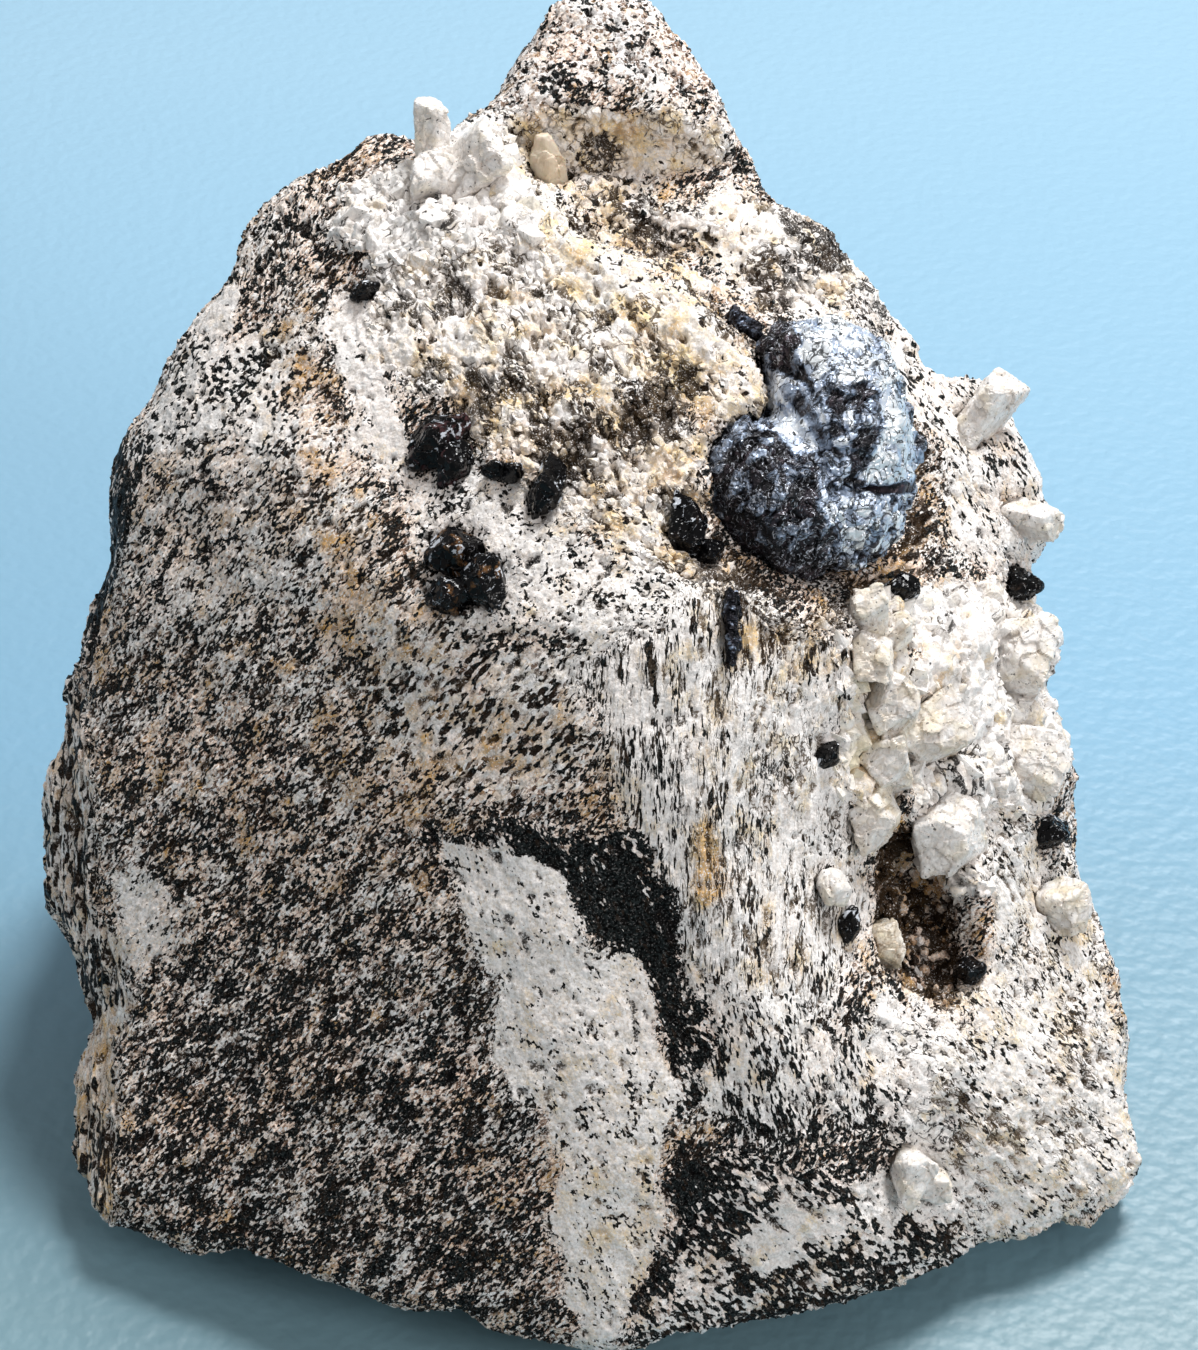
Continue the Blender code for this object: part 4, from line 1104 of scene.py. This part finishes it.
def noduleRelief(points, values):
    # crinkled foil: leaves of three sizes, each tilted its own way, held flatter on the sheets
    loose = 1 - values["smooth"]
    bent = points + 0.5 * np.stack([softNoise(points, 1.7, 150 + k) for k in range(3)], axis=-1)
    relief = np.zeros(len(points))
    marks = {}
    for order, (key, size, rise, hold) in enumerate(nodule["leaves"]):
        height, tag, crease = grainRelief(bent, size, 160 + 20 * order, nodule["pillow"])
        relief += rise * height * (hold + (1 - hold) * loose)
        marks[key + "Tag"] = tag
        marks[key + "Crease"] = crease
    return relief, marks


def buildNodule(finish):
    points, faces = resampled("hematite_nodule", nodule["spacing"])
    points = relaxed(points, faces, nodule["smoothRounds"], 0.5)
    relief, _ = noduleRelief(points, noduleFields(points))
    shaped = points + normalsOf(points, faces) * (relief + nodule["lift"])[:, None]
    points, faces, rest = thinned(shaped, faces, nodule["triangles"], points)
    values = noduleFields(rest)
    _, marks = noduleRelief(rest, values)
    makePiece("hematite_leaves", points, faces, finish, ["hematite_nodule"],
              fields=dict(values, **marks))


def foilFinish():
    # Steel-grey foil: each leaf and crinkle has its own brightness. Where the foil is bright
    # its cracks are black and its creases are painted black as shade, and where it is dark some
    # of them carry painted glints.
    finish = Finish("hematite_foil", Metallic=0.5)
    here = finish.objectPlace()
    bright, smooth, leaf, crinkle, edge, foil = finish.fields(
        "bright", "smooth", "leafTag", "crinkleTag", "crinkleCrease", "foilCrease")
    fine = finish.noise(here, 0.20, 3.0)
    broad = finish.noise(here, 1.3, 3.0)
    web = (finish.noise(here, 1.4, 2.5, 1.2) - 0.5).absolute()
    loose = 1.0 - smooth
    swing = (bright + 0.25).clamped() * loose
    level = bright + (leaf - 0.5) * loose * 0.30 + (crinkle - 0.5) * (swing * 0.95 + 0.08)
    level = level + (broad - 0.5) * (loose * 0.8 + 0.35) + (fine - 0.5) * 0.26
    colour = finish.ramp(level.clamped(), steel)
    warm = ((0.36 - level) * 4.0).clamped() * broad.between(0.44, 0.60)
    colour = finish.blend(warm * 0.75, colour, (0.075, 0.052, 0.066))
    # black cracks, and the crinkle creases painted black as shade
    crack = ((0.020 + loose * 0.022 - web).between(0.0, 0.014) + (0.28 - edge).between(0.0, 0.2) * loose)
    crack = crack.clamped() * fine.between(0.30, 0.44)
    colour = finish.blend(crack * 0.9, colour, (0.006, 0.006, 0.008))
    thread = (finish.noise(here, 1.1, 2.5, 1.5) - 0.5).absolute()
    # painted glints along creases and threads where the foil is dark
    glint = (0.22 - foil).between(0.0, 0.12) * crinkle.between(0.62, 0.68)
    glint = (glint + (0.024 - thread).between(0.0, 0.012)).clamped() * loose
    glint = glint * ((0.62 - bright) * 3.0).clamped() * fine.between(0.42, 0.55)
    colour = finish.blend(glint * 0.9, colour, (0.62, 0.66, 0.74))
    rough = crinkle * 0.16 + 0.28 + loose * 0.06
    normal = finish.bump(fine * 0.3 - crack * 0.8, 0.12, 0.6)
    return finish.shown(Base_Color=colour, Roughness=rough, Normal=normal)


def darkSteelFinish():
    # The small hematite plates beside it: dark, with streaks of brighter steel.
    finish = Finish("hematite_dark", Metallic=0.85)
    here = finish.objectPlace()
    fine = finish.noise(here, 0.22, 3.0)
    broad = finish.noise(here, 0.9, 3.0)
    streak = finish.noise(finish.objectPlace((1, 3, 1), (0.5, 0.2, 0.7)), 0.6, 3.0)
    level = 0.18 + (broad - 0.5) * 1.2 + (streak - 0.5) * 1.3 + (fine - 0.5) * 0.3
    colour = finish.ramp(level.clamped(), steel)
    rough = fine * 0.2 + 0.25
    return finish.shown(Base_Color=colour, Roughness=rough, Normal=finish.bump(fine, 0.12, 0.6))


# The crystals: each CAD crystal with worn edges and a natural surface.
crystalLooks = {
    "quartz": dict(spacing=0.15, rounds=1, facets=((1.9, 0.24), (0.8, 0.12)), fine=0.02),
    "feldspar": dict(spacing=0.15, rounds=1, facets=((2.4, 0.14), (0.9, 0.07)), fine=0.02),
    "magnetite": dict(spacing=0.11, rounds=1, facets=((1.5, 0.17), (0.6, 0.10)), fine=0.003),
    "hematite": dict(spacing=0.13, rounds=1, facets=((1.1, 0.28), (0.45, 0.12)), fine=0.02),
}
crystalTriangles = 22000
# how rusty each quartz piece is
quartzRust = {"quartz_vein": 0.40, "quartz_cavity_tablet": 0.75, "quartz_rim_foot": 0.4}


def crystalRelief(node, points, look):
    # broken faces of two sizes, each cell at its own height and tilt
    relief = look["fine"] * layeredNoise(points, 0.4, 210, 2)
    marks = {"tone": np.zeros(len(points)), "crease": np.ones(len(points))}
    for order, (size, rise) in enumerate(look["facets"]):
        height, tag, crease = grainRelief(points, size, 200 + len(node) + 9 * order, 0.0)
        relief += rise * height
        marks["tone"] += tag / len(look["facets"])
        marks["crease"] = np.minimum(marks["crease"], crease)
    return relief, marks


def buildCrystal(node, kind, finish):
    look = crystalLooks[kind]
    points, faces = resampled(node, look["spacing"])
    points = relaxed(points, faces, look["rounds"], 0.5)
    relief, _ = crystalRelief(node, points, look)
    shaped = points + normalsOf(points, faces) * relief[:, None]
    shaped[:, 2] = np.maximum(shaped[:, 2], rock["baseHeight"])
    shaped, faces, rest = thinned(shaped, faces, crystalTriangles, points)
    _, marks = crystalRelief(node, rest, look)
    marks["rust"] = np.full(len(rest), quartzRust.get(node, 0.22))
    makePiece(node + "_grown", shaped, faces, finish, [node], fields=marks)


def quartzFinish():
    # Milky quartz, each grain with its own tone, yellow where it is rusty and brown in its
    # creases, partly stain and partly painted shade, with a few dark specks. A little of the light
    # spreads inside it.
    finish = Finish("quartz_milky", IOR=1.544, Subsurface_Weight=0.25, Subsurface_Scale=0.0009,
                    Subsurface_Radius=(1.0, 0.95, 0.9), Specular_IOR_Level=0.5)
    here = finish.objectPlace()
    rust, tone, crease = finish.fields("rust", "tone", "crease")
    fine = finish.noise(here, 0.3, 3.0)
    broad = finish.noise(here, 2.0, 2.5, 0.4)
    glassy = finish.noise(here, 0.8, 2.5, 0.4).between(0.50, 0.64)
    colour = finish.blend(tone.between(0.05, 0.55), (0.90, 0.865, 0.83), palette["white"])
    colour = finish.blend(glassy * 0.26, colour, (0.68, 0.66, 0.63))
    yellow = (rust * 1.5 + (broad - 0.5) * 2.4 + (tone - 0.5) * 0.6 - 0.34).clamped()
    colour = finish.blend(yellow * 0.75, colour, (0.89, 0.76, 0.50))
    # painted shade and brown stain in the creases between facets
    creaseShadeAndStain = ((1.0 - crease) * 1.2 + (fine - 0.5) * 1.6 - 0.45).clamped()
    colour = finish.blend(creaseShadeAndStain * (rust * 0.8 + 0.22), colour, (0.30, 0.21, 0.12))
    speck = finish.noise(here, 0.34, 2.0).between(0.67, 0.70)
    colour = finish.blend(speck * 0.85, colour, (0.04, 0.034, 0.03))
    mottle = finish.grey((fine - 0.5) * 0.9 + 1.0)
    colour = finish.blend(1.0, colour, mottle, "MULTIPLY")
    rough = fine * 0.5 + 0.10
    return finish.shown(Base_Color=colour, Roughness=rough, Normal=finish.bump(fine, 0.14, 0.6))


def magnetiteFinish(name, rim, share):
    # Glossy black with fine growth lines and a share of brown or purple tarnish; patches of some
    # facets and edges are painted bright, a painted reflection of a window.
    finish = Finish(name, IOR=1.5, Specular_IOR_Level=0.24)
    here = finish.objectPlace()
    lines = finish.noise(finish.objectPlace((6, 1, 1), (0.4, 0.3, 0.8)), 1.2, 2.0)
    tarnish = finish.noise(here, 1.6, 2.0, 0.5).between(0.62 - share, 0.68 - share)
    fine = finish.noise(here, 0.25, 2.0)
    tone, crease = finish.fields("tone", "crease")
    colour = finish.blend(tarnish * fine.between(0.35, 0.6), (0.002, 0.002, 0.0025), rim)
    patch = finish.noise(here, 0.55, 2.0).between(0.50, 0.56)
    # painted reflection on some facets and edges
    mirror = (tone.between(0.76, 0.78) + (0.06 - crease).between(0.0, 0.05)).clamped() * patch
    colour = finish.blend(mirror * 0.9, colour, (0.60, 0.64, 0.70))
    rough = fine * 0.16 + 0.05
    normal = finish.bump(lines * 0.5 + fine * 0.3, 0.05, 0.3)
    return finish.shown(Base_Color=colour, Roughness=rough, Normal=normal)


def feldsparFinish():
    finish = Finish("feldspar_tan", IOR=1.53, Subsurface_Weight=0.15, Subsurface_Scale=0.0008)
    here = finish.objectPlace()
    bands = finish.noise(finish.objectPlace((1, 5, 1), (0.3, 0.2, 0.5)), 1.5, 2.0)
    fine = finish.noise(here, 0.3, 3.0)
    colour = finish.ramp(bands, [(0.3, (0.60, 0.50, 0.36)), (0.7, (0.74, 0.66, 0.54))])
    rough = fine * 0.3 + 0.35
    return finish.shown(Base_Color=colour, Roughness=rough, Normal=finish.bump(fine, 0.08, 0.5))


# The floor, the light and the camera. The floor's blue runs from the front to the back, painted darker
# towards the front as painted shade.
floorLook = {
    "reach": 3000.0,
    "level": -0.1,
    "ends": (-60, 180),
    "stops": [(0.13, (0.17, 0.295, 0.35)), (0.91, (0.31, 0.51, 0.66)), (0.42, (0.225, 0.43, 0.595))],
}
lamps = {
    "key": dict(place=(160, 260, 600), size=220, power=4.6, colour=(0.99, 0.99, 0.985)),
    "window": dict(place=(-480, -60, 420), size=380, power=0.45, colour=(1.0, 0.98, 0.96)),
    "fill": dict(place=(520, -380, 380), size=300, power=2.05, colour=(1.0, 0.955, 0.935)),
}
studio = {"Color": (1.0, 0.98, 0.985, 1), "Strength": 0.30}


def buildFloor():
    reach, level = floorLook["reach"], floorLook["level"]
    corners = np.array([(x, y, level) for x in (-reach, reach) for y in (-reach, reach)])
    mesh = rawMesh("floor", corners, np.array([(0, 2, 3), (0, 3, 1)]))
    floor = bpy.data.objects.new("floor", mesh)
    bpy.context.scene.collection.objects.link(floor)
    finish = Finish("pale_floor", Roughness=0.42)
    here = finish.objectPlace()
    back = finish.node("ShaderNodeSeparateXYZ", {}, {0: here}, 1)
    shade = finish.noise(here, 90.0, 1.0)
    # painted shade: the floor darker towards the front
    pale = finish.ramp(back.between(*floorLook["ends"]) + (shade - 0.5) * 0.1, floorLook["stops"])
    grain = finish.noise(here, 1.5, 1.5)
    mesh.materials.append(finish.shown(Base_Color=pale, Normal=finish.bump(grain, 0.5, 0.35)))


def buildLight():
    for name, lamp in lamps.items():
        data = bpy.data.lights.new(name, "AREA")
        data.shape = "DISK"
        data.size = lamp["size"] * mm
        data.energy = lamp["power"]
        data.color = lamp["colour"]
        source = bpy.data.objects.new(name, data)
        source.location = Vector(lamp["place"]) * mm
        towards = Vector(sight["target"]) * mm - source.location
        source.rotation_euler = towards.to_track_quat("-Z", "Y").to_euler()
        bpy.context.scene.collection.objects.link(source)
    world = bpy.data.worlds.new("studio")
    world.use_nodes = True
    for key, value in studio.items():
        world.node_tree.nodes["Background"].inputs[key].default_value = value
    bpy.context.scene.world = world
    bpy.context.scene.view_settings.view_transform = "Standard"


def buildCamera():
    data = bpy.data.cameras.new("camera")
    data.sensor_fit = "AUTO"
    data.sensor_width = sight["sensor"]
    height = sight["picture"][1] / sight["pixelsPerMm"]
    data.lens = sight["sensor"] * sight["distance"] / height
    data.clip_start = 0.01
    camera = bpy.data.objects.new("camera", data)
    camera.location = Vector(eye) * mm
    camera.rotation_euler = Vector(ahead).to_track_quat("-Z", "Y").to_euler()
    bpy.context.scene.collection.objects.link(camera)
    bpy.context.scene.camera = camera


buildCamera()
buildLight()
buildFloor()
print("stage made")

speckled = gneissFinish()
base = rockBase()
buildRock(base, speckled)
for name, skin in skins.items():
    buildSkin(name, skin, base, speckled)
milky = quartzFinish()
for name, finish in (("sugar_grains", speckled), ("quartz_crust", milky)):
    grainPiece(name, grainPieces[name], base, finish)
print("grains scattered")

buildNodule(foilFinish())
finishes = {
    "quartz": milky,
    "feldspar": feldsparFinish(),
    "hematite": darkSteelFinish(),
    "magnetite": magnetiteFinish("magnetite_black", (0.03, 0.02, 0.015), 0.0),
    "magnetite_upper": magnetiteFinish("magnetite_purple", (0.060, 0.026, 0.028), 0.06),
    "magnetite_lower": magnetiteFinish("magnetite_brown", (0.15, 0.075, 0.03), 0.05),
}
for node in sorted(nodes):
    kind = node.split("_")[0]
    if kind in crystalLooks and node != "hematite_nodule":
        buildCrystal(node, kind, finishes.get(node, finishes[kind]))
print("crystals grown")
